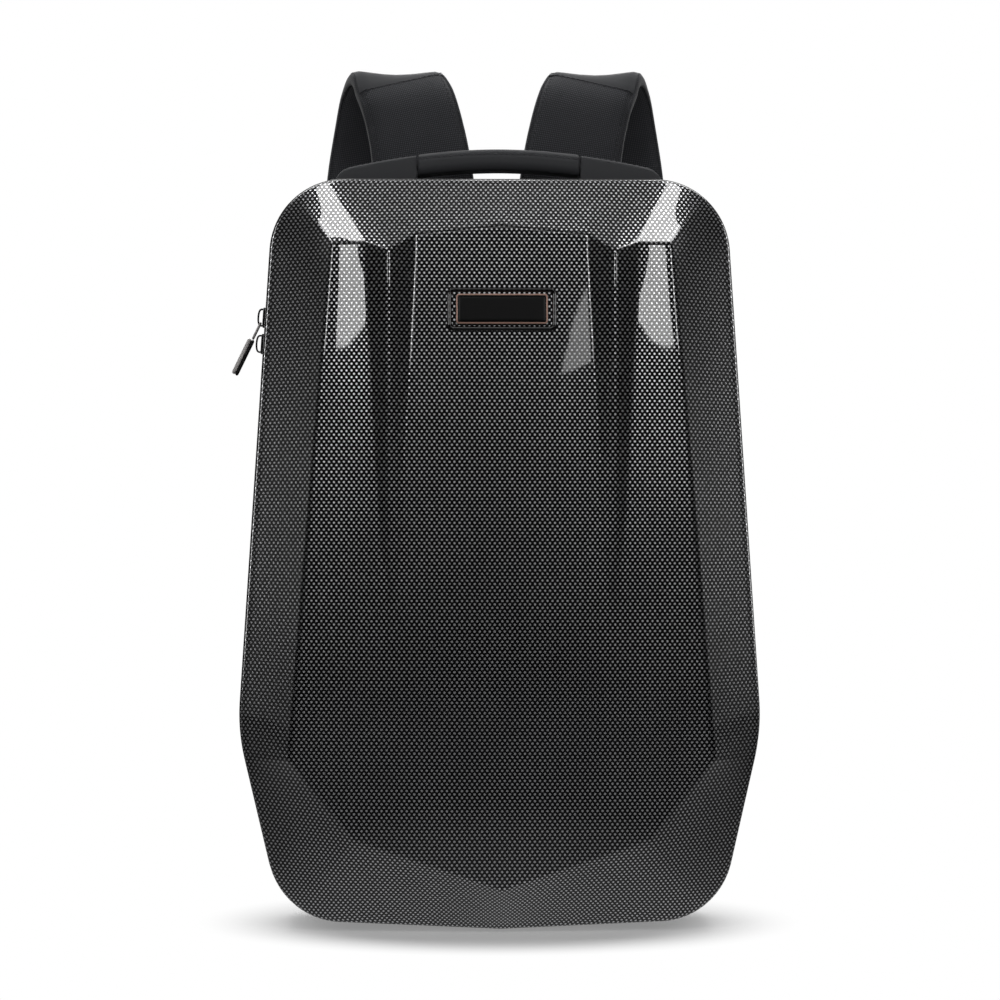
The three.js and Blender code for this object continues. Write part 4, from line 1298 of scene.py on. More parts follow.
    def build(self) -> None:
        """Makes the shell as one closed body with its printed map."""
        half, down = self.panel()
        edge, shares = self.rim_shares(half, down)
        rows, maps = self.bands(edge, shares)
        grid = np.concatenate([(half * MIRROR)[:, :0:-1], half], axis=1)
        count = half.shape[1] - 1
        points = [grid.reshape(-1, 3)]
        flat = [grid.reshape(-1, 3)[:, [0, 2]]]
        number = np.arange(grid.shape[0] * grid.shape[1]).reshape(grid.shape[:2])
        cells = [number[:-1, :-1], number[1:, :-1], number[1:, 1:], number[:-1, 1:]]
        faces = [np.stack(cells, -1).reshape(-1, 4)]
        ring_points = np.concatenate([rows, (rows * MIRROR)[:, -2:0:-1]], axis=1)
        ring_maps = np.concatenate([maps, (maps * MIRROR[[0, 2]])[:, -2:0:-1]], axis=1)
        right = np.concatenate([number[0, count:], number[1:, -1], number[-1, -2 : count - 1 : -1]])
        left = np.concatenate([number[0, count::-1], number[1:, 0], number[-1, 1 : count + 1]])
        ring = np.concatenate([right, left[-2:0:-1]])
        total = number.size
        levels = [ring]
        for k in range(1, len(ring_points)):
            levels.append(np.arange(len(ring)) + total)
            total += len(ring)
            points.append(ring_points[k])
            flat.append(ring_maps[k])
        for inner, outer in zip(levels, levels[1:]):
            nxt = np.roll(np.arange(len(ring)), -1)
            faces.append(np.stack([inner, inner[nxt], outer[nxt], outer], -1))
        middle = np.array([[0.0, RIM_Y - (self.depth - 3 * self.wall), RIM.height / 2]])
        points.append(middle)
        flat.append(middle[:, [0, 2]])
        last, nxt = levels[-1], np.roll(levels[-1], -1)
        quads = [f.tolist() for f in np.vstack(faces)]
        fan = [[int(a), int(b), total] for a, b in zip(last, nxt)]
        patch = Patch(np.vstack(points), quads + fan, []).mapped(np.vstack(flat) * MM)
        make_piece("shell_body", patch, Look.SHELL, ["shell"], "shell", sharp=180)

    def on_panel(self, flat: np.ndarray) -> np.ndarray:
        """Carries points from a flat plate onto the panel at the badge.

        Args:
            flat: points by 3: across, up and out of the panel.

        Returns:
            The points in the bag's frame.
        """
        zero = np.array([0.0])
        depth = [float(self.crown(zero, np.array([self.badge_height + s]))[0]) for s in (-5, 0, 5)]
        slope = (depth[2] - depth[0]) / 10
        up = np.array([0.0, -slope, 1.0]) / math.hypot(slope, 1)
        outward = np.cross(X_AXIS, up)
        origin = np.array([0.0, RIM_Y - depth[1], self.badge_height])
        return origin + flat[:, :1] * X_AXIS + flat[:, 1:2] * up + flat[:, 2:3] * outward


def plate(profiles: Sequence[np.ndarray], levels: Sequence[float], hollow: bool = False) -> Patch:
    """A closed plate through flat outlines at heights, or a band whose section runs through them.

    Args:
        profiles: points-by-2 outlines with as many points each.
        levels: the height of each.
        hollow: whether it is a band, open in the middle.

    Returns:
        The patch, flat on its own plane.
    """
    rows = np.array([np.column_stack([p, np.full(len(p), z)]) for p, z in zip(profiles, levels)])
    patch = swept(rows.transpose(1, 0, 2), closed=True) if hollow else swept(rows)
    return patch.mapped(patch.points[:, :2] * MM)


@dataclass
class Badge:
    """The seat pressed into the shell, and the bare plate in its copper frame."""

    shell: Shell
    seat_width: float = 69.0
    seat_tall: float = 27.5
    seat_proud: float = 1.0
    border: float = 3.2
    corner: float = 4.0
    width: float = 57.5
    tall: float = 19.0
    thickness: float = 1.6
    frame_width: float = 1.0
    plate_corner: float = 2.0

    def seat(self) -> Patch:
        """The raised border round the badge, formed in the shell's own sheet.

        Returns:
            The patch, flat on its own plane.
        """
        outer = [(0.0, -0.8), (0.1, 0.35), (0.45, 0.85), (1.0, 1.0)]
        inner = [(1.9, 1.0), (2.5, 0.75), (2.9, 0.2), (3.2, -0.8)]
        profiles, levels = [], []
        for inward, level in outer + inner:
            inward *= self.border / 3.2
            radius = max(0.6, self.corner - inward * 0.8)
            profiles.append(
                rounded_box_profile(self.seat_width - 2 * inward, self.seat_tall - 2 * inward, radius, 8)
            )
            levels.append(level * self.seat_proud)
        return plate(profiles, levels, hollow=True)

    def build(self) -> None:
        """Makes the seat, the copper frame and the plate."""
        seat = self.seat()
        seat.points = self.shell.on_panel(seat.points)
        make_piece("badge_seat", seat, Look.SEAT, slot="shell", sharp=60)
        back = GAP
        front = back + self.thickness
        steps = [(0.25, back), (0.0, back + 0.2), (0.0, front - 0.3), (0.3, front)]
        w = self.frame_width
        outline = [(i, z) for i, z in steps] + [(w - 0.25, front), (w, front - 0.3), (w, back)]
        profiles = [
            rounded_box_profile(self.width - 2 * i, self.tall - 2 * i, max(0.5, self.plate_corner - i), 6)
            for i, _ in outline
        ]
        frame_patch = plate(profiles, [z for _, z in outline], hollow=True)
        frame_patch.points = self.shell.on_panel(frame_patch.points)
        make_piece("badge_rim", frame_patch, Look.COPPER, ["badge_frame"], "badge_frame", sharp=50)
        start = w + 0.2
        face = front - GAP
        outline = [(start + 0.1, back), (start, back + 0.1), (start, face - 0.2), (start + 0.3, face)]
        outline.append((3.0, face))
        profiles = [
            rounded_box_profile(self.width - 2 * i, self.tall - 2 * i, max(0.4, self.plate_corner - i), 6)
            for i, _ in outline
        ]
        face_patch = plate(profiles, [z for _, z in outline])
        face_patch.points = self.shell.on_panel(face_patch.points)
        make_piece("badge_face", face_patch, Look.BADGE, ["badge_plate"], "badge_plate", sharp=50)


@dataclass
class Rim:
    """The round piping between the shell and the cloth."""

    diameter: float = 4.0
    proud: float = 1.5
    stations: int = 420
    sides: int = 14

    def build(self) -> None:
        """Makes the piping."""
        radius = self.diameter / 2
        centre = RIM_Y + GAP + radius
        places = RIM.loop(self.stations)
        turns = np.arange(self.sides) / self.sides * FULL_TURN
        deep = radius - self.proud
        sections = [inset(places, deep + radius * math.cos(t), centre + radius * math.sin(t)) for t in turns]
        cord = swept(np.stack(sections, 1), closed=True)
        make_piece("piping_cord", cord, Look.PIPING, ["rim_piping"], "piping", sharp=180)


@dataclass
class ClothBody:
    """The cloth strip behind the piping, the zip tape and the gusset of the main compartment."""

    wall: float = 2.0
    piping: float = 4.0
    strip_depth: float = 9.0
    tape_depth: float = 11.0
    back_y: float = 45.0
    stations: int = 360
    swell: float = 1.2

    def __post_init__(self) -> None:
        """Works out where each ring begins."""
        self.strip_y = RIM_Y + self.piping + 2 * GAP
        self.tape_y = self.strip_y + self.strip_depth + GAP
        self.gusset_y = self.tape_y + self.tape_depth + GAP
        self.chain_y = self.tape_y + self.tape_depth / 2

    def ring(
        self,
        outline: Outline,
        front: float,
        back: float,
        swell: float,
        rows: int,
        creases: float,
    ) -> Patch:
        """A wall of cloth that follows the outline.

        Args:
            outline: the outline that it follows.
            front: its front edge along Y.
            back: its back edge.
            swell: how far its middle stands out.
            rows: rows of faces across it.
            creases: the depth of the slack in the cloth.

        Returns:
            The closed patch.
        """
        places = outline.loop(self.stations)
        run = np.arange(self.stations) / self.stations * 2 * outline.length
        flat_base = (places[:, 1] < 30) & (np.abs(places[:, 0]) < 120)
        free = np.where(flat_base, 0.0, 1.0)
        sections = []
        for k in range(rows + 1):
            share = k / rows
            bow = math.sin(math.pi * share)
            slack = creases * bow * (np.sin(run / 37.0) * np.sin(run / 15.1 + 3 * share))
            sections.append(inset(places, -(swell * bow + slack) * free, front + (back - front) * share))
        for share in (1.0, 0.5, 0.0):
            sections.append(inset(places, self.wall, front + (back - front) * share))
        return swept(np.array(sections).transpose(1, 0, 2), closed=True)

    def build(self) -> None:
        """Makes the three rings, the zip's teeth and the seams."""
        strip = self.ring(RIM, self.strip_y, self.strip_y + self.strip_depth, 0.5, 5, 0.15)
        make_piece("front_strip_cloth", strip, Look.CLOTH, ["front_gusset"], "cloth", sharp=60)
        tape = self.ring(RIM, self.tape_y, self.tape_y + self.tape_depth, 0.0, 4, 0.0)
        make_piece("zip_tape_woven", tape, Look.TAPE, ["zip_tape"], "zip_tape", sharp=60)
        gusset = self.ring(BASE, self.gusset_y, self.back_y, self.swell, 16, 0.5)
        make_piece("gusset_cloth", gusset, Look.CLOTH, ["gusset"], "cloth", sharp=60)
        self.build_zip()
        seams = []
        for outline, y, out in (
            (RIM, self.strip_y + self.strip_depth - 1.6, 0.35),
            (BASE, self.gusset_y + 3.0, 0.4),
            (BASE, self.back_y - 3.0, 0.4),
        ):
            places = outline.loop(self.stations)
            places = places[places[:, 1] > 20]
            start = int(np.argmax(np.linalg.norm(np.diff(places[:, :2], axis=0), axis=1))) + 1
            places = np.roll(places, -start, axis=0)
            seams.append(inset(places, -out, y))
        STITCH.along("gusset_stitches", seams, Look.THREAD, slot="cloth")

    def build_zip(self) -> None:
        """Makes the closed teeth, two rows that meet, over the top and down both sides."""
        end = RIM.share_at_height(90.0)
        shares = np.linspace(0, end, 260)
        right = RIM.at(shares)
        left = right[:0:-1] * np.array([-1.0, 1.0, -1.0, 1.0])
        places = np.vstack([left, right])
        teeth = PathRow(Row.TEETH, pitch=2.0, length=1.3, width=3.4, tall=1.3)
        rows = [inset(places, -GAP - 0.45, self.chain_y + side * 1.35) for side in (-1, 1)]
        rows[1] = rows[1][1:] * 0.5 + rows[1][:-1] * 0.5
        teeth.along("zip_teeth_row", rows, Look.TEETH, ["zip_chain"], "zip_teeth")


@dataclass
class Back:
    """The padded back: its panel and the two raised pads with a channel between them."""

    panel_y: float = 45.3
    thickness: float = 8.0
    pad_thickness: float = 11.0
    channel: float = 36.0
    pad_width: float = 70.0
    pad_corner: float = 22.0
    pad_top: float = 426.0
    pad_bottom: float = 60.0
    seam: float = 11.6
    stations: int = 240

    def __post_init__(self) -> None:
        """Works out the panel's face."""
        self.face_y = self.panel_y + self.thickness

    def panel(self) -> Patch:
        """The panel: a flat front and a quilted face with rounded edges.

        Returns:
            The closed patch.
        """
        places = BASE.loop(self.stations)
        rows = [inset(places, i, self.panel_y) for i in (60.0, 3.0)]
        rows.append(inset(places, 0.3, self.panel_y + 0.6))
        rows.append(inset(places, 0.0, self.panel_y + self.thickness * 0.45))
        # inward in millimetres, and shares of the thickness: a soft edge, then the quilting seam
        soft = [(0.6, 0.68), (2.2, 0.86), (4.6, 0.97), (7.5, 1.0)]
        soft += [(10.5, 0.93), (self.seam, 0.88), (12.8, 0.93)]
        rows += [inset(places, i, self.panel_y + self.thickness * s) for i, s in soft]
        middle = np.array([0.0, self.face_y, RIM.height / 2])
        rim = rows[-1]
        for share in (0.1, 0.3, 0.6, 0.85):
            point = rim + (middle - rim) * share
            point[:, 1] = self.face_y
            rows.append(point)
        front = rows[0].copy()
        front[:, [0, 2]] = front[:, [0, 2]] * 0.4 + middle[[0, 2]] * 0.6
        patch = swept(np.array([front] + rows))
        return patch.mapped(patch.points[:, [0, 2]] * MM)

    def pad(self) -> Patch:
        """The left pad as a plain puffed slab, before the cloth is pulled over its foam.

        Returns:
            The closed patch.
        """
        tall = self.pad_top - self.pad_bottom
        centre = np.array([-(self.channel + self.pad_width) / 2, self.pad_bottom + tall / 2])
        front = self.face_y + GAP
        # inward in millimetres, and shares of the thickness
        table = [(30.0, 0.0), (2.0, 0.0), (0.4, 0.12), (0.0, 0.4)]
        table += [(1.2, 0.66), (4.0, 0.84), (9.0, 0.93), (20.0, 0.97)]
        rows = []
        for inward, up in table:
            width, radius = self.pad_width - 2 * inward, max(1.0, self.pad_corner - inward)
            across, high = rounded_box_profile(width, tall - 2 * inward, radius, 10).T
            out = np.full(len(across), front + self.pad_thickness * up)
            rows.append(np.column_stack([centre[0] + across, out, centre[1] + high]))
        return swept(np.array(rows))

    def build(self) -> None:
        """Makes the panel, the pads with their cloth pulled tight, and the seams."""
        panel = make_piece("back_panel_padded", self.panel(), Look.CLOTH, ["back_panel"], "cloth", sharp=60)
        pad = self.pad()
        for side, patch in (("left", pad), ("right", pad.mirrored())):
            name = f"back_pad_{side}"
            piece = puffed_pad(f"{name}_mesh", patch, Look.MESH, name, self.face_y + GAP)
        places = BASE.loop(self.stations)
        seam = inset(places, self.seam, self.panel_y + self.thickness * 0.9)
        seam = np.vstack([seam, seam[:1]])
        STITCH.along("back_panel_stitches", [seam], Look.THREAD, slot="cloth")


def map_flat(mesh: bpy.types.Mesh) -> None:
    """Gives a mesh a map seen along Y, in metres.

    Args:
        mesh: the mesh.
    """
    layer = mesh.uv_layers.get("surface") or mesh.uv_layers.new(name="surface")
    points = np.zeros(len(mesh.vertices) * 3, np.float32)
    mesh.vertices.foreach_get("co", points)
    corners = np.zeros(len(mesh.loops), np.int32)
    mesh.loops.foreach_get("vertex_index", corners)
    layer.data.foreach_set("uv", points.reshape(-1, 3)[corners][:, [0, 2]].ravel())


# The pads' quilted channels, in millimetres, and the frames that blow the cover tight
CHANNEL_START, CHANNEL_PITCH, CHANNEL_HALF, CHANNEL_DEPTH = 60.0, 46.0, 3.5, 2.2
COVER_FRAMES = 14


def puffed_pad(name: str, patch: Patch, look: Look, node: str, floor_y: float) -> bpy.types.Object:
    """A pad whose cover is blown tight by Blender's cloth, then laid back on the panel.

    Args:
        name: the piece's name.
        patch: the pad's starting shape.
        look: its finish.
        node: the frame's node that it stands for.
        floor_y: the plane along Y that it lies on.

    Returns:
        The object.
    """
    patch = patch.outward()
    mesh = bpy.data.meshes.new(name)
    mesh.from_pydata((patch.points * MM).tolist(), [], patch.faces)
    work = bpy.data.objects.new(f"{name}_work", mesh)
    bpy.context.scene.collection.objects.link(work)
    remesh = work.modifiers.new("even_faces", "REMESH")
    remesh.mode = "VOXEL"
    remesh.voxel_size = 4.0 * MM
    cloth = work.modifiers.new("cover", "CLOTH")
    cloth.settings.use_pressure = True
    cloth.settings.uniform_pressure_force = 3.0
    cloth.settings.tension_stiffness = 25.0
    cloth.settings.bending_stiffness = 1.2
    cloth.settings.effector_weights.gravity = 0.0
    cloth.point_cache.frame_start = 1
    cloth.point_cache.frame_end = COVER_FRAMES
    for step in range(1, COVER_FRAMES + 1):
        bpy.context.scene.frame_set(step)
    graph = bpy.context.evaluated_depsgraph_get()
    shaped = bpy.data.meshes.new_from_object(work.evaluated_get(graph))
    bpy.data.objects.remove(work)
    bpy.context.scene.frame_set(1)
    points = np.zeros(len(shaped.vertices) * 3, np.float32)
    shaped.vertices.foreach_get("co", points)
    points = points.reshape(-1, 3)
    points[:, 1] = np.maximum(points[:, 1], floor_y * MM)
    depth = points[:, 1] - floor_y * MM
    level = (points[:, 2] * 1000 - CHANNEL_START) % CHANNEL_PITCH
    away = np.minimum(np.abs(level - CHANNEL_PITCH / 2), CHANNEL_HALF) / CHANNEL_HALF
    points[:, 1] -= np.where(depth > 3 * MM, (1 - away) * CHANNEL_DEPTH * MM, 0)
    shaped.vertices.foreach_set("co", points.ravel())
    map_flat(shaped)
    shaped.shade_smooth()
    shaped.materials.clear()
    shaped.materials.append(look.material())
    shaped.name = name
    return place_piece(shaped, name, [node], "air_mesh", subdivide=1)


@dataclass
class Handle:
    """The top handle: a leatherette strap with thick sewn ends, and the padded grip round it."""

    y: float = 10.0
    width: float = 25.0
    half_span: float = 107.0
    rise: float = 24.5
    core: float = 2.6
    grip_half: float = 53.0
    grip_width: float = 32.0
    grip_thickness: float = 14.0
    ridge: float = 0.26

    def top(self, x: np.ndarray) -> np.ndarray:
        """The grip's top at a distance from the middle.

        Args:
            x: places across the bag.

        Returns:
            Heights of the bag.
        """
        out = np.clip(np.abs(x) / self.half_span, 0, 1)
        return RIM.height + self.rise * (1 - 0.56 * out**1.9)

    def across_bag(self, profile: np.ndarray, x: float, height: float) -> np.ndarray:
        """Stands a section across the bag.

        Args:
            profile: points by 2, along Y and up.
            x: its place across the bag.
            height: the height of its middle.

        Returns:
            Points by 3.
        """
        return np.column_stack([np.full(len(profile), x), self.y + profile[:, 0], height + profile[:, 1]])

    def strap(self) -> Patch:
        """The strap: thick at its ends, thin inside the grip.

        Returns:
            The closed patch.
        """
        seat = RIM.height + GAP
        ends = np.array([-107.0, -106.2, -104.0, -101.0, -97.0, -90.0, -80.0, -70.0, -62.0, -54.0, -53.4])
        ends *= self.half_span / 107.0
        x = np.concatenate([ends, np.linspace(-50, 50, 15), -ends[::-1]])
        sections = []
        for place in x:
            away = abs(place)
            inside = away < self.grip_half + 0.6
            arch = float(self.top(np.array([place]))[0])
            if inside:
                top = arch - (self.grip_thickness - self.core) / 2
                bottom = top - self.core
            else:
                top = arch - 0.5
                bottom = seat
                drop = np.clip((away - self.half_span + 9) / 9, 0, 1)
                top -= (top - seat - 2.2) * (1 - math.sqrt(max(0.0, 1 - drop**2)))
            tall = max(1.2, top - bottom)
            profile = rounded_box_profile(self.width, tall, min(2.4, tall * 0.42), 4)
            sections.append(self.across_bag(profile, place, (top + bottom) / 2))
        return swept(np.array(sections))

    def grip(self) -> Patch:
        """The grip: a padded sleeve with a sewn ridge along its upper edges.

        Returns:
            The closed patch.
        """
        tip, squeezed = np.array([0.975, 0.992, 1.0]), np.array([0.985, 0.95, 0.86])
        body = np.linspace(-0.95, 0.95, 27)
        x = np.concatenate([-tip[::-1], body, tip]) * self.grip_half
        pinch = np.concatenate([squeezed[::-1], np.ones(len(body)), squeezed])
        base = rounded_box_profile(self.grip_width, self.grip_thickness, self.grip_thickness * 0.42, 8)
        level = base[:, 1] / self.grip_thickness
        groove = np.exp(-(((level - self.ridge) / 0.035) ** 2)) * 0.9
        base[:, 0] -= np.sign(base[:, 0]) * groove
        sections = []
        for place, squeeze in zip(x, pinch):
            centre = float(self.top(np.array([place]))[0]) - self.grip_thickness / 2
            profile = base * squeeze
            sections.append(self.across_bag(profile, place, centre))
        return swept(np.array(sections))

    def build(self) -> None:
        """Makes the strap, the grip and their stitches."""
        look, slot = Look.LEATHERETTE, "leatherette"
        make_piece("handle_strap_leatherette", self.strap(), look, ["handle_strap"], slot, sharp=60)
        grip = make_piece("handle_grip_padded", self.grip(), look, ["handle_grip"], slot, sharp=70)
        lines = []
        for side in (-1, 1):
            x = np.linspace(57, 98, 30) * side
            for edge in (-1, 1):
                y = np.full(len(x), self.y + edge * (self.width / 2 - 2.8))
                lines.append(np.column_stack([x, y, self.top(x) - 0.35]))
        x = np.linspace(-50, 50, 40)
        y = np.full(len(x), self.y - self.grip_width / 2 + 1.0)
        lines.append(np.column_stack([x, y, self.top(x) - self.grip_thickness * (0.5 - self.ridge)]))
        STITCH.along("handle_stitches", lines, Look.THREAD, slot=slot)


@dataclass
class ShoulderStraps:
    """The padded straps, their smooth crest panels and bindings, and what hangs on their ends."""

    rise: float = 82.0
    drop: float = 260.0
    arch: float = 47.0
    width: float = 64.0
    thickness: float = 13.0
    seat_y: float = 53.6
    steps: int = 9
    crest_from: float = 3.35
    crest_to: float = 6.6
    webbing_width: float = 25.0
    webbing_thickness: float = 2.0
    buckle_width: float = 36.0
    buckle_tall: float = 26.0
    buckle_thickness: float = 5.0
    buckle_bar: float = 4.5
    tab_across: float = 0.72
    tab_height: float = 60.0
    tab_tall: float = 36.0
    tab_width: float = 36.0
    tab_thickness: float = 3.0
    route: tuple[tuple[float, float, float, float, float], ...] = (
        # across, out, rise, drop, wide: shares of half the bag's width, the arch, the rise,
        # the drop and the strap's width
        (0.282, 0.0, 0.0, 0.13, 1.02),
        (0.291, 0.003, 0.06, 0.0, 1.04),
        (0.322, 0.05, 0.49, 0.0, 1.0),
        (0.363, 0.19, 0.79, 0.0, 0.98),
        (0.405, 0.49, 0.92, 0.0, 0.98),
        (0.44, 0.79, 0.8, 0.0, 0.98),
        (0.468, 0.95, 0.49, 0.0, 1.0),
        (0.496, 1.0, 0.12, 0.0, 1.0),
        (0.525, 0.96, 0.0, 0.24, 1.0),
        (0.542, 0.81, 0.0, 0.54, 0.96),
        (0.551, 0.57, 0.0, 0.82, 0.86),
        (0.556, 0.38, 0.0, 1.0, 0.76),
    )

    def __post_init__(self) -> None:
        """Works out the strap's line and its width along it."""
        table = np.array(self.route)
        knots = np.column_stack(
            [
                -table[:, 0] * RIM.half_width,
                self.seat_y + self.thickness / 2 + table[:, 1] * self.arch,
                RIM.height + table[:, 2] * self.rise - table[:, 3] * self.drop,
            ]
        )
        self.strip = Strip(smooth_line(knots, self.steps))
        place = np.linspace(0, len(knots) - 1, len(self.strip.line))
        self.place = place
        self.widths = self.width * np.interp(place, np.arange(len(knots)), table[:, 4])

    def thinning(self, x: np.ndarray, width: float) -> np.ndarray:
        """The share of the foam's thickness left at places across the strap.

        Args:
            x: the places.
            width: the strap's width there.

        Returns:
            Shares, less at the sewn edges.
        """
        return 1 - 0.34 * np.clip((np.abs(x) / (width / 2 - 0.8) - 0.8) / 0.2, 0, 1) ** 2

    def profile(self, width: float, swell: float) -> np.ndarray:
        """The strap's section: foam between two faces, thinner at its sewn edges.

        Args:
            width: its width.
            swell: how far the foam fills it, about 1.

        Returns:
            Points by 2, across and out.
        """
        count = 40
        turn = np.arange(count) / count * FULL_TURN
        c, s = np.cos(turn), np.sin(turn)
        x = np.sign(c) * np.abs(c) ** 0.28 * (width / 2 - 0.8)
        y = np.sign(s) * np.abs(s) ** 0.5 * self.thickness / 2 * swell * self.thinning(x, width)
        return np.column_stack([x, y])

    def band(self) -> Patch:
        """The padded band itself.

        Returns:
            The left strap's patch.
        """
        count = len(self.strip.line)
        slack = 1 - 0.05 * (0.5 + 0.5 * np.sin(self.place * 4.1)) * np.clip(self.place - 4, 0, 1)
        ends = np.clip(np.minimum(np.arange(count), np.arange(count)[::-1]) / 3, 0.55, 1)
        profiles = [self.profile(w, s * e) for w, s, e in zip(self.widths, slack, ends)]
        return swept(self.strip.sections(profiles))

    def crest(self) -> Patch:
        """The smooth panel sewn over the strap's crest.

        Returns:
            The left strap's patch.
        """
        inside = np.where((self.place >= self.crest_from) & (self.place <= self.crest_to))[0]
        part = Strip(self.strip.line[inside])
        part.across, part.face = self.strip.across[inside], self.strip.face[inside]
        profiles = []
        for k, width in enumerate(self.widths[inside]):
            half = width / 2 - 1.2
            x = np.linspace(-half, half, 15)
            top = self.thickness / 2 * self.thinning(x, width)
            lift = 0.7 if 0 < k < len(inside) - 1 else 0.3
            upper = np.column_stack([x, top + lift])
            lower = np.column_stack([x[::-1], top[::-1] - 1.2])
            profiles.append(np.vstack([upper, lower]))
        return swept(part.sections(profiles))

    def binding(self) -> Patch:
        """The tape folded over both edges of the strap.

        Returns:
            The left strap's patch.
        """
        patch: Patch | None = None
        turn = np.arange(10) / 10 * FULL_TURN
        for side in (-1, 1):
            inner = slice(1, -1)
            centres = self.strip.track(side * (self.widths / 2 - 1.2), np.zeros(len(self.widths)))[inner]
            across, face = self.strip.across[inner], self.strip.face[inner]
            tall = self.thickness * 0.36
            ring = [centres + across * 1.5 * math.cos(t) + face * tall * math.sin(t) for t in turn]
            tube = swept(np.stack(ring, 1)).outward()
            patch = tube if patch is None else patch.joined(tube)
        return patch

    def seam_lines(self) -> list[np.ndarray]:
        """The rows of stitches along both edges of the front face and across the crest's seams.

        Returns:
            Lines of points in millimetres.
        """
        lines = []
        for side in (-1, 1):
            across = side * (self.widths / 2 - 4.6)
            out = np.full(len(across), self.thickness / 2 * 0.97)
            lines.append(self.strip.track(across, out)[4:-4])
        for place in (self.crest_from, self.crest_to):
            k = int(np.argmin(np.abs(self.place - place)))
            half = self.widths[k] / 2 - 4
            x = np.linspace(-half, half, 20)
            centre = self.strip.line[k + (1 if place == self.crest_from else -1)]
            top = self.strip.face[k] * (self.thickness / 2 + 0.8)
            lines.append(centre + x[:, None] * self.strip.across[k] + top)
        return lines

    def buckle(self) -> tuple[Patch, np.ndarray, np.ndarray]:
        """The ladder-lock buckle at the strap's end.

        Returns:
            Its patch, its centre and the strap's direction there.
        """
        along, across, face = self.strip.along[-1], self.strip.across[-1], self.strip.face[-1]
        centre = self.strip.line[-1] + along * (GAP + self.buckle_tall / 2)
        slot_tall = (self.buckle_tall - 3 * self.buckle_bar) / 2
        away = (slot_tall + self.buckle_bar) / 2
        half = self.buckle_thickness / 2
        patch: Patch | None = None
        for side in (-1, 1):
            x = side * (self.buckle_width - self.buckle_bar) / 2
            rows = [
                (rounded_box_profile(self.buckle_bar - 2 * i, self.buckle_tall - 2 * i, 1.6, 3) + (x, 0.0), z)
                for i, z in ((0.6, -half), (0.0, -half + 0.7), (0.0, half - 0.7), (0.6, half))
            ]
            bar = plate([p for p, _ in rows], [z for _, z in rows])
            patch = bar if patch is None else patch.joined(bar)
        for y, thick in ((away * 2, 1.0), (0.0, 0.8), (-away * 2, 1.0)):
            turn = np.arange(12) / 12 * FULL_TURN
            ring = np.column_stack([np.cos(turn) * self.buckle_bar / 2, np.sin(turn) * half * thick])
            x = np.linspace(-1, 1, 7) * (self.buckle_width / 2 - self.buckle_bar * 0.6)
            sections = np.array([np.column_stack([np.full(12, p), y + ring[:, 0], ring[:, 1]]) for p in x])
            patch = patch.joined(swept(sections))
        points = patch.points
        patch.points = centre + points[:, :1] * across + points[:, 1:2] * along + points[:, 2:3] * face
        return patch, centre, along

    def webbing(self, centre: np.ndarray, along: np.ndarray) -> Patch:
        """The webbing from the buckle down to its tab.

        Args:
            centre: the buckle's centre.
            along: the strap's direction at the buckle.

        Returns:
            The left side's patch.
        """
        foot = np.array(
            [
                -self.tab_across * RIM.half_width,
                self.seat_y + self.webbing_thickness / 2,
                self.tab_height + self.tab_tall / 2 + GAP,
            ]
        )
        start = centre + along * (self.buckle_tall / 2 + GAP)
        lead = start + along * self.webbing_width / 3
        near = foot + np.array([0.0, 0.0, self.webbing_width / 2])
        strip = Strip(smooth_line(np.array([start, lead, (start + foot) / 2, near, foot]), 8))
        profile = rounded_box_profile(self.webbing_width, self.webbing_thickness, 0.8, 3)
        return swept(strip.sections([profile] * len(strip.line)))

    def tab(self) -> Patch:
        """The sewn tab at the foot of the back.

        Returns:
            The left side's patch.
        """
        face = self.tab_thickness
        rows = [
            (rounded_box_profile(self.tab_width - 2 * i, self.tab_tall - 2 * i, max(1.0, 4 - i), 5), z)
            for i, z in ((0.5, 0.0), (0.0, 0.5), (0.0, face - 0.8), (0.5, face - 0.2), (1.2, face))
        ]
        patch = plate([p for p, _ in rows], [z for _, z in rows])
        x, up, out = patch.points.T
        left = x - self.tab_across * RIM.half_width
        patch.points = np.column_stack([left, self.seat_y + out, self.tab_height + up])
        return patch

    def build(self) -> None:
        """Makes both straps with everything on them."""
        band, crest, binding = self.band(), self.crest(), self.binding()
        buckle, centre, along = self.buckle()
        webbing, tab = self.webbing(centre, along), self.tab()
        seams = self.seam_lines()
        inner = self.tab_width / 2 - 3.5
        square = inner * np.array([(-1, -1), (1, -1), (1, 1), (-1, 1), (-1, -1), (1, 1)])
        box = np.column_stack(
            [
                square[:, 0] - self.tab_across * RIM.half_width,
                np.full(len(square), self.seat_y + self.tab_thickness + 0.1),
                self.tab_height + square[:, 1],
            ]
        )
        for side in ("left", "right"):
            here: Callable[[Patch], Patch] = (lambda p: p) if side == "left" else (lambda p: p.mirrored())
            name, node = f"strap_{side}", f"shoulder_strap_{side}"
            piece = make_piece(f"{name}_padded", here(band), Look.STRAP, [node], "air_mesh", sharp=180)
            make_piece(f"{name}_crest", here(crest), Look.LEATHERETTE, slot="leatherette", sharp=60)
            make_piece(f"{name}_binding", here(binding), Look.STRAP, slot="cloth", sharp=180)
            make_piece(f"buckle_{side}", here(buckle), Look.BUCKLE, [f"adjuster_{side}"], "buckle", sharp=50)
            make_piece(
                f"{name}_webbing", here(webbing), Look.WEBBING, [f"webbing_{side}"], "webbing", sharp=60
            )
            make_piece(f"tab_{side}", here(tab), Look.CLOTH, [f"lower_tab_{side}"], "cloth", sharp=50)
            lines = [line if side == "left" else line * MIRROR for line in [*seams, box]]
            STITCH.along(f"{name}_stitches", lines, Look.THREAD, slot="air_mesh")


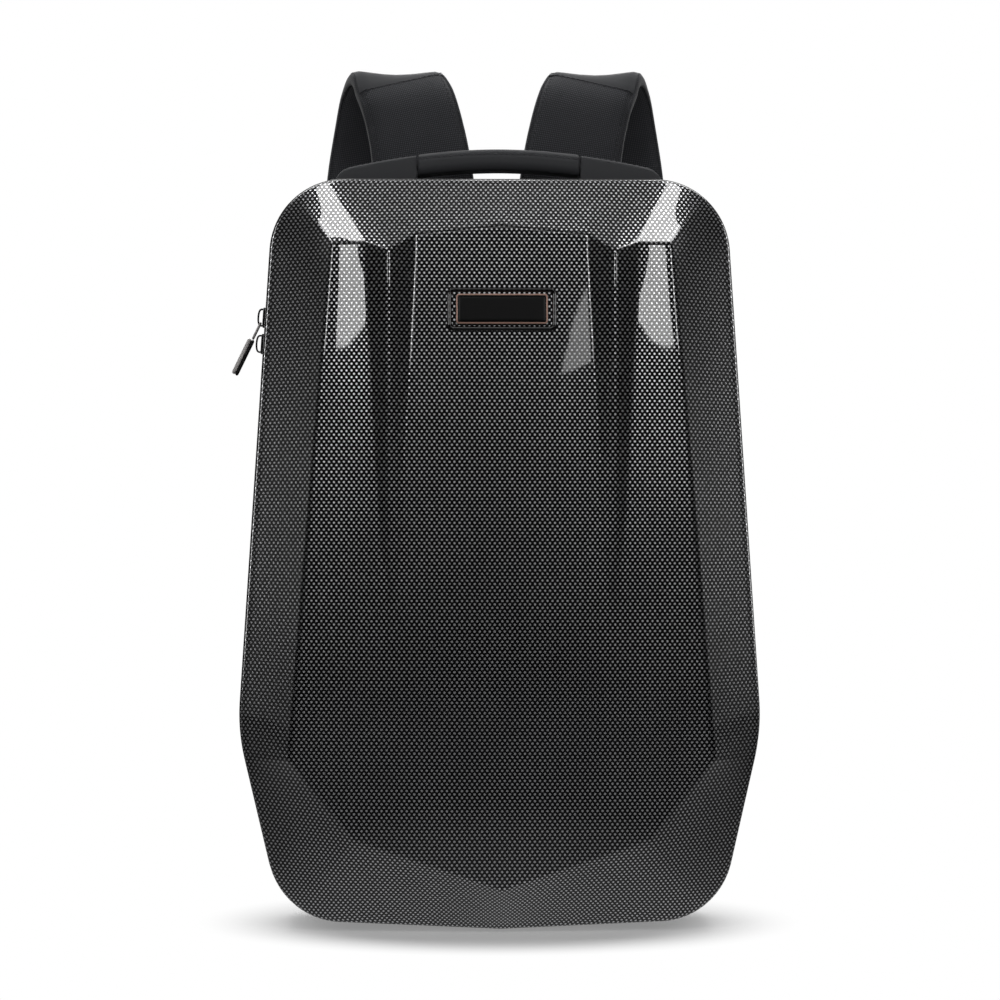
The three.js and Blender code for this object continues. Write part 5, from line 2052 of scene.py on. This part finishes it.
@dataclass
class ZipFittings:
    """The two sliders on the left side and the one pull that hangs from the upper."""

    cloth: ClothBody
    chain_proud: float = 1.4
    pull_height: float = 389.0
    pitch: float = 17.0
    length: float = 13.0
    width: float = 9.0
    plate: float = 1.6
    clear: float = 2.4
    bridge: float = 1.1
    bridge_width: float = 3.0
    bar_from_end: float = 2.8
    angle: float = 26.0
    wire: float = 1.5
    link: float = 11.0
    tab_length: float = 25.0
    tab_width: float = 8.0
    metal: float = 2.4
    rubber: float = 1.6

    def side(self, height: float) -> tuple[np.ndarray, np.ndarray, np.ndarray]:
        """The left side at a height: the slider's seat, outward and up.

        Args:
            height: the height of the bag.

        Returns:
            The seat and the two directions.
        """
        x, z, nx, nz = RIM.at(np.array([RIM.share_at_height(height)]))[0]
        outward, up = np.array([-nx, 0.0, nz]), np.array([nz, 0.0, nx])
        seat = np.array([-x, self.cloth.chain_y, z]) + outward * (2 * GAP + self.chain_proud)
        return seat, outward, up

    def slider(self, height: float) -> Patch:
        """A slider: a waisted plate on the teeth with an arched bridge.

        Args:
            height: the height of its middle.

        Returns:
            The closed patch.
        """
        seat, outward, up = self.side(height)
        across = np.cross(up, outward)
        shape = [(0.5, 0.0), (0.0, 0.35), (0.0, self.plate - 0.4), (0.6, self.plate)]
        profiles = []
        for i, _ in shape:
            outline = rounded_box_profile(self.width - 2 * i, self.length - 2 * i, 2.0, 4)
            outline[:, 0] *= 0.82 + 0.18 * np.abs(outline[:, 1] / (self.length / 2)) ** 1.5
            profiles.append(outline)
        patch = plate(profiles, [z for _, z in shape])
        reach = self.length / 2 - 1.1
        turn = np.linspace(math.pi, 0, 15)
        high = self.clear + self.bridge / 2 + 0.4
        line = np.column_stack([np.cos(turn) * reach, self.plate - 0.4 + np.sin(turn) ** 0.45 * high])
        tangent = np.gradient(line, axis=0)
        tangent /= np.linalg.norm(tangent, axis=1)[:, None]
        out = np.column_stack([-tangent[:, 1], tangent[:, 0]])
        section = rounded_box_profile(self.bridge_width, self.bridge, 0.4, 2)
        rows = np.array(
            [
                np.column_stack([section[:, 0], p[0] + section[:, 1] * n[0], p[1] + section[:, 1] * n[1]])
                for p, n in zip(line, out)
            ]
        )
        patch = patch.outward().joined(swept(rows).outward())
        points = patch.points
        patch.points = seat + points[:, :1] * across + points[:, 1:2] * up + points[:, 2:3] * outward
        return patch

    def pull_frame(self) -> tuple[np.ndarray, Callable[[np.ndarray], np.ndarray]]:
        """The pull's pivot, and the lean that its pieces take from hanging straight down.

        Returns:
            The pivot, and a function that leans points about it.
        """
        bar_down = self.length / 2 - self.bar_from_end
        seat, outward, up = self.side(self.pull_height + bar_down)
        pivot = seat + outward * (self.plate + self.clear / 2) - up * bar_down
        lean = np.array(Matrix.Rotation(math.radians(self.angle), 3, "Y"))
        return pivot, lambda points: pivot + points @ lean.T

    def link_patch(self) -> Patch:
        """The wire loop: a bar under the bridge, two arms beside it and a bar at the tab.

        Returns:
            The closed patch, hanging straight down from the pivot.
        """
        arm = self.bridge_width / 2 + GAP + self.wire
        loop = rounded_box_profile(2 * arm, self.link, 1.1, 5)
        loop[:, 1] -= self.link / 2
        along = np.roll(loop, -1, axis=0) - np.roll(loop, 1, axis=0)
        along /= np.linalg.norm(along, axis=1)[:, None]
        out = np.column_stack([along[:, 1], -along[:, 0]])
        turn = np.arange(10) / 10 * FULL_TURN
        radius = self.wire / 2 * 0.92
        rows = [
            np.column_stack(
                [
                    np.sin(turn) * radius,
                    p[0] + n[0] * np.cos(turn) * radius,
                    p[1] + n[1] * np.cos(turn) * radius,
                ]
            )
            for p, n in zip(loop, out)
        ]
        return swept(np.array(rows), closed=True)

    def tab_patch(self, low: float, high: float, grow: float) -> Patch:
        """A layer of the tab between two depths, with rounded edges and a slight waist.

        Args:
            low: its inner face, toward the bag.
            high: its outer face.
            grow: how far it stands beyond the tab's outline.

        Returns:
            The patch, hanging straight down from the pivot.
        """
        top = -self.link - self.wire / 2 - GAP
        middle = top - self.tab_length / 2
        edge = min(0.6, (high - low) * 0.35)
        rows = [(edge, low), (0.0, low + edge), (0.0, high - edge), (edge, high), (edge + 0.8, high)]
        profiles = []
        for i, _ in rows:
            wider = 2 * (grow - i)
            outline = rounded_box_profile(self.tab_width + wider, self.tab_length + wider, 2.4, 6)
            waist = 1 - 0.1 * np.cos(outline[:, 1] / self.tab_length * math.pi) ** 2
            outline[:, 0] *= waist
            profiles.append(outline)
        patch = plate(profiles, [z for _, z in rows])
        across, up, out = patch.points.T
        patch.points = np.column_stack([out, across, middle + up])
        return patch

    def build(self) -> None:
        """Makes the sliders on the bag and the pull on its own body."""
        upper = self.pull_height + self.length / 2 - self.bar_from_end
        for name, height in (("upper", upper), ("lower", upper - self.pitch)):
            patch = self.slider(height)
            make_piece(f"zip_slider_{name}", patch, Look.SLIDER, [f"slider_{name}"], "slider", sharp=50)
        _, lean = self.pull_frame()
        front = self.wire - self.rubber
        metal = self.tab_patch(front - GAP - self.metal, front - GAP, 0.0)
        rubber = self.tab_patch(front - GAP / 2, front + self.rubber, 0.2)
        layers = (
            ("pull_link_wire", self.link_patch(), Look.NICKEL, "pull_link", "pull_metal"),
            ("pull_tab_metal", metal, Look.NICKEL, "pull_tab", "pull_metal"),
            ("pull_tab_rubber", rubber, Look.RUBBER, "pull_backing", "pull_rubber"),
        )
        for name, patch, look, node, slot in layers:
            patch.points = lean(patch.points)
            make_piece(name, patch, look, [node], slot, body=PULL, sharp=50)


# The studio


@dataclass(frozen=True)
class Softbox:
    """An area light that looks at a point of the bag."""

    name: str
    place: tuple[float, float, float]
    aim: tuple[float, float, float]
    width: float
    tall: float
    power: float

    def build(self) -> None:
        """Adds the light."""
        data = bpy.data.lights.new(self.name, "AREA")
        data.shape = "RECTANGLE"
        data.size, data.size_y = self.width, self.tall
        data.energy = self.power
        lamp = bpy.data.objects.new(self.name, data)
        lamp.location = self.place
        way = Vector(self.aim) - Vector(self.place)
        lamp.rotation_euler = way.to_track_quat("-Z", "Y").to_euler()
        bpy.context.scene.collection.objects.link(lamp)


@dataclass
class Studio:
    """A pale floor, soft light and the camera at the photograph's angle."""

    distance: float = 2.4
    side: float = -0.05
    eye: float = 0.275
    lens: float = 134.5
    floor_half: float = 14.0
    # metres from the bag's middle over which the shadow under it, and its own glow, die away
    shadow_reach: tuple[float, float] = (0.115, 0.2)
    glow_reach: tuple[float, float] = (0.2, 0.6)

    def build(self) -> None:
        """Makes the camera, the floor, the surroundings and the lights."""
        scene = bpy.context.scene
        scene.view_settings.view_transform = "Standard"
        data = bpy.data.cameras.new("camera")
        data.lens = self.lens
        data.sensor_width = 36.0
        camera = bpy.data.objects.new("camera", data)
        camera.location = (self.side, RIM_Y * MM - self.distance, self.eye)
        camera.rotation_euler = (math.pi / 2, 0.0, -math.atan(-self.side / self.distance))
        scene.collection.objects.link(camera)
        scene.camera = camera
        self.build_floor()
        self.build_surroundings()
        for box in (
            Softbox("softbox_left", (-0.98, -1.95, 0.95), (0.0, 0.0, 0.35), 0.52, 0.5, 5.0),
            Softbox("softbox_right", (0.98, -1.95, 0.95), (0.0, 0.0, 0.35), 0.52, 0.5, 5.0),
            Softbox("centre_veil", (0.33, -2.4, 0.98), (0.0, 0.0, 0.4), 0.1, 0.3, 0.25),
            Softbox("key", (0.0, -1.9, 1.44), (0.0, 0.0, 0.35), 1.1, 0.3, 2.7),
            Softbox("corner_left", (-0.72, 0.18, 2.32), (-0.1, -0.08, 0.45), 0.94, 0.34, 7.2),
            Softbox("corner_right", (0.72, 0.18, 2.32), (0.1, -0.08, 0.45), 0.94, 0.34, 7.2),
            Softbox("overhead", (0.0, 1.5, 2.3), (0.0, 0.2, 0.0), 2.2, 1.0, 9.0),
            Softbox("side_left", (-2.2, 2.0, 0.8), (0.0, 0.1, 0.3), 0.9, 1.2, 12.0),
            Softbox("side_right", (2.2, 2.0, 0.8), (0.0, 0.1, 0.3), 0.9, 1.2, 12.0),
            Softbox("back_fill", (0.0, 2.4, 1.4), (0.0, 0.1, 0.3), 2.0, 1.2, 22.0),
        ):
            box.build()

    def build_floor(self) -> None:
        """Makes the floor, near white to the eye and paler in its own light than in reflections."""
        mesh = bpy.data.meshes.new("floor")
        size = self.floor_half
        corners = [(-size, -size, 0), (size, -size, 0), (size, size, 0), (-size, size, 0)]
        mesh.from_pydata(corners, [], [(0, 1, 2, 3)])
        floor = bpy.data.objects.new("floor", mesh)
        bpy.context.scene.collection.objects.link(floor)
        material = bpy.data.materials.new("paper_sweep_white")
        material.use_nodes = True
        tree = material.node_tree
        shader = tree.nodes["Principled BSDF"]
        shader.inputs["Roughness"].default_value = 0.9
        ray = add_node(tree, "ShaderNodeLightPath")
        away = add_node(tree, "ShaderNodeVectorMath", {0: object_space(tree)}, operation="LENGTH")
        start, end = self.shadow_reach
        far = add_node(
            tree,
            "ShaderNodeMapRange",
            {"Value": away.outputs["Value"], "From Min": start, "From Max": end, "To Min": 0.25},
            interpolation_type="SMOOTHSTEP",
        )
        dim = mixed(tree, far.outputs["Result"], linear("FFFFFF"), linear("202020"), "RGBA")
        tone = mixed(tree, ray.outputs["Is Camera Ray"], dim, linear("FAFAFA"), "RGBA")
        tree.links.new(tone, shader.inputs["Base Color"])
        start, end = self.glow_reach
        near = add_node(
            tree,
            "ShaderNodeMapRange",
            {"Value": away.outputs["Value"], "From Min": start, "From Max": end, "To Min": 0.2, "To Max": 0.0},
        )
        share = mixed(tree, ray.outputs["Is Camera Ray"], near.outputs["Result"], far.outputs["Result"])
        glow = add_node(tree, "ShaderNodeEmission", {"Color": (1.0, 1.0, 1.0, 1.0), "Strength": 1.0})
        both = add_node(tree, "ShaderNodeMixShader", {0: share, 1: shader.outputs[0], 2: glow.outputs[0]})
        tree.links.new(both.outputs[0], tree.nodes["Material Output"].inputs["Surface"])
        mesh.materials.append(material)

    def build_surroundings(self) -> None:
        """Makes the surroundings: white behind the bag to the eye, dark behind the camera."""
        world = bpy.data.worlds.new("studio")
        world.use_nodes = True
        bpy.context.scene.world = world
        tree = world.node_tree
        ray = add_node(tree, "ShaderNodeLightPath")
        way = add_node(tree, "ShaderNodeTexCoord")
        parts = add_node(tree, "ShaderNodeSeparateXYZ", {"Vector": way.outputs["Generated"]})
        behind = add_node(
            tree,
            "ShaderNodeMapRange",
            {"Value": parts.outputs["Y"], "From Min": -0.5, "From Max": 0.7, "To Min": 0.01, "To Max": 0.11},
        )
        strength = mixed(tree, ray.outputs["Is Camera Ray"], behind.outputs["Result"], 1.0)
        background = tree.nodes["Background"]
        background.inputs["Color"].default_value = (1.0, 1.0, 1.0, 1.0)
        tree.links.new(strength, background.inputs["Strength"])


def main() -> None:
    """Builds the bag's sub-assemblies in order, then the studio round them."""
    logging.basicConfig(level=logging.INFO, format="%(name)s: %(message)s")
    shell = Shell()
    cloth = ClothBody()
    shell.build()
    Badge(shell).build()
    Rim().build()
    cloth.build()
    Back().build()
    Handle().build()
    ShoulderStraps().build()
    ZipFittings(cloth).build()
    Studio().build()


if __name__ == "__main__":
    main()
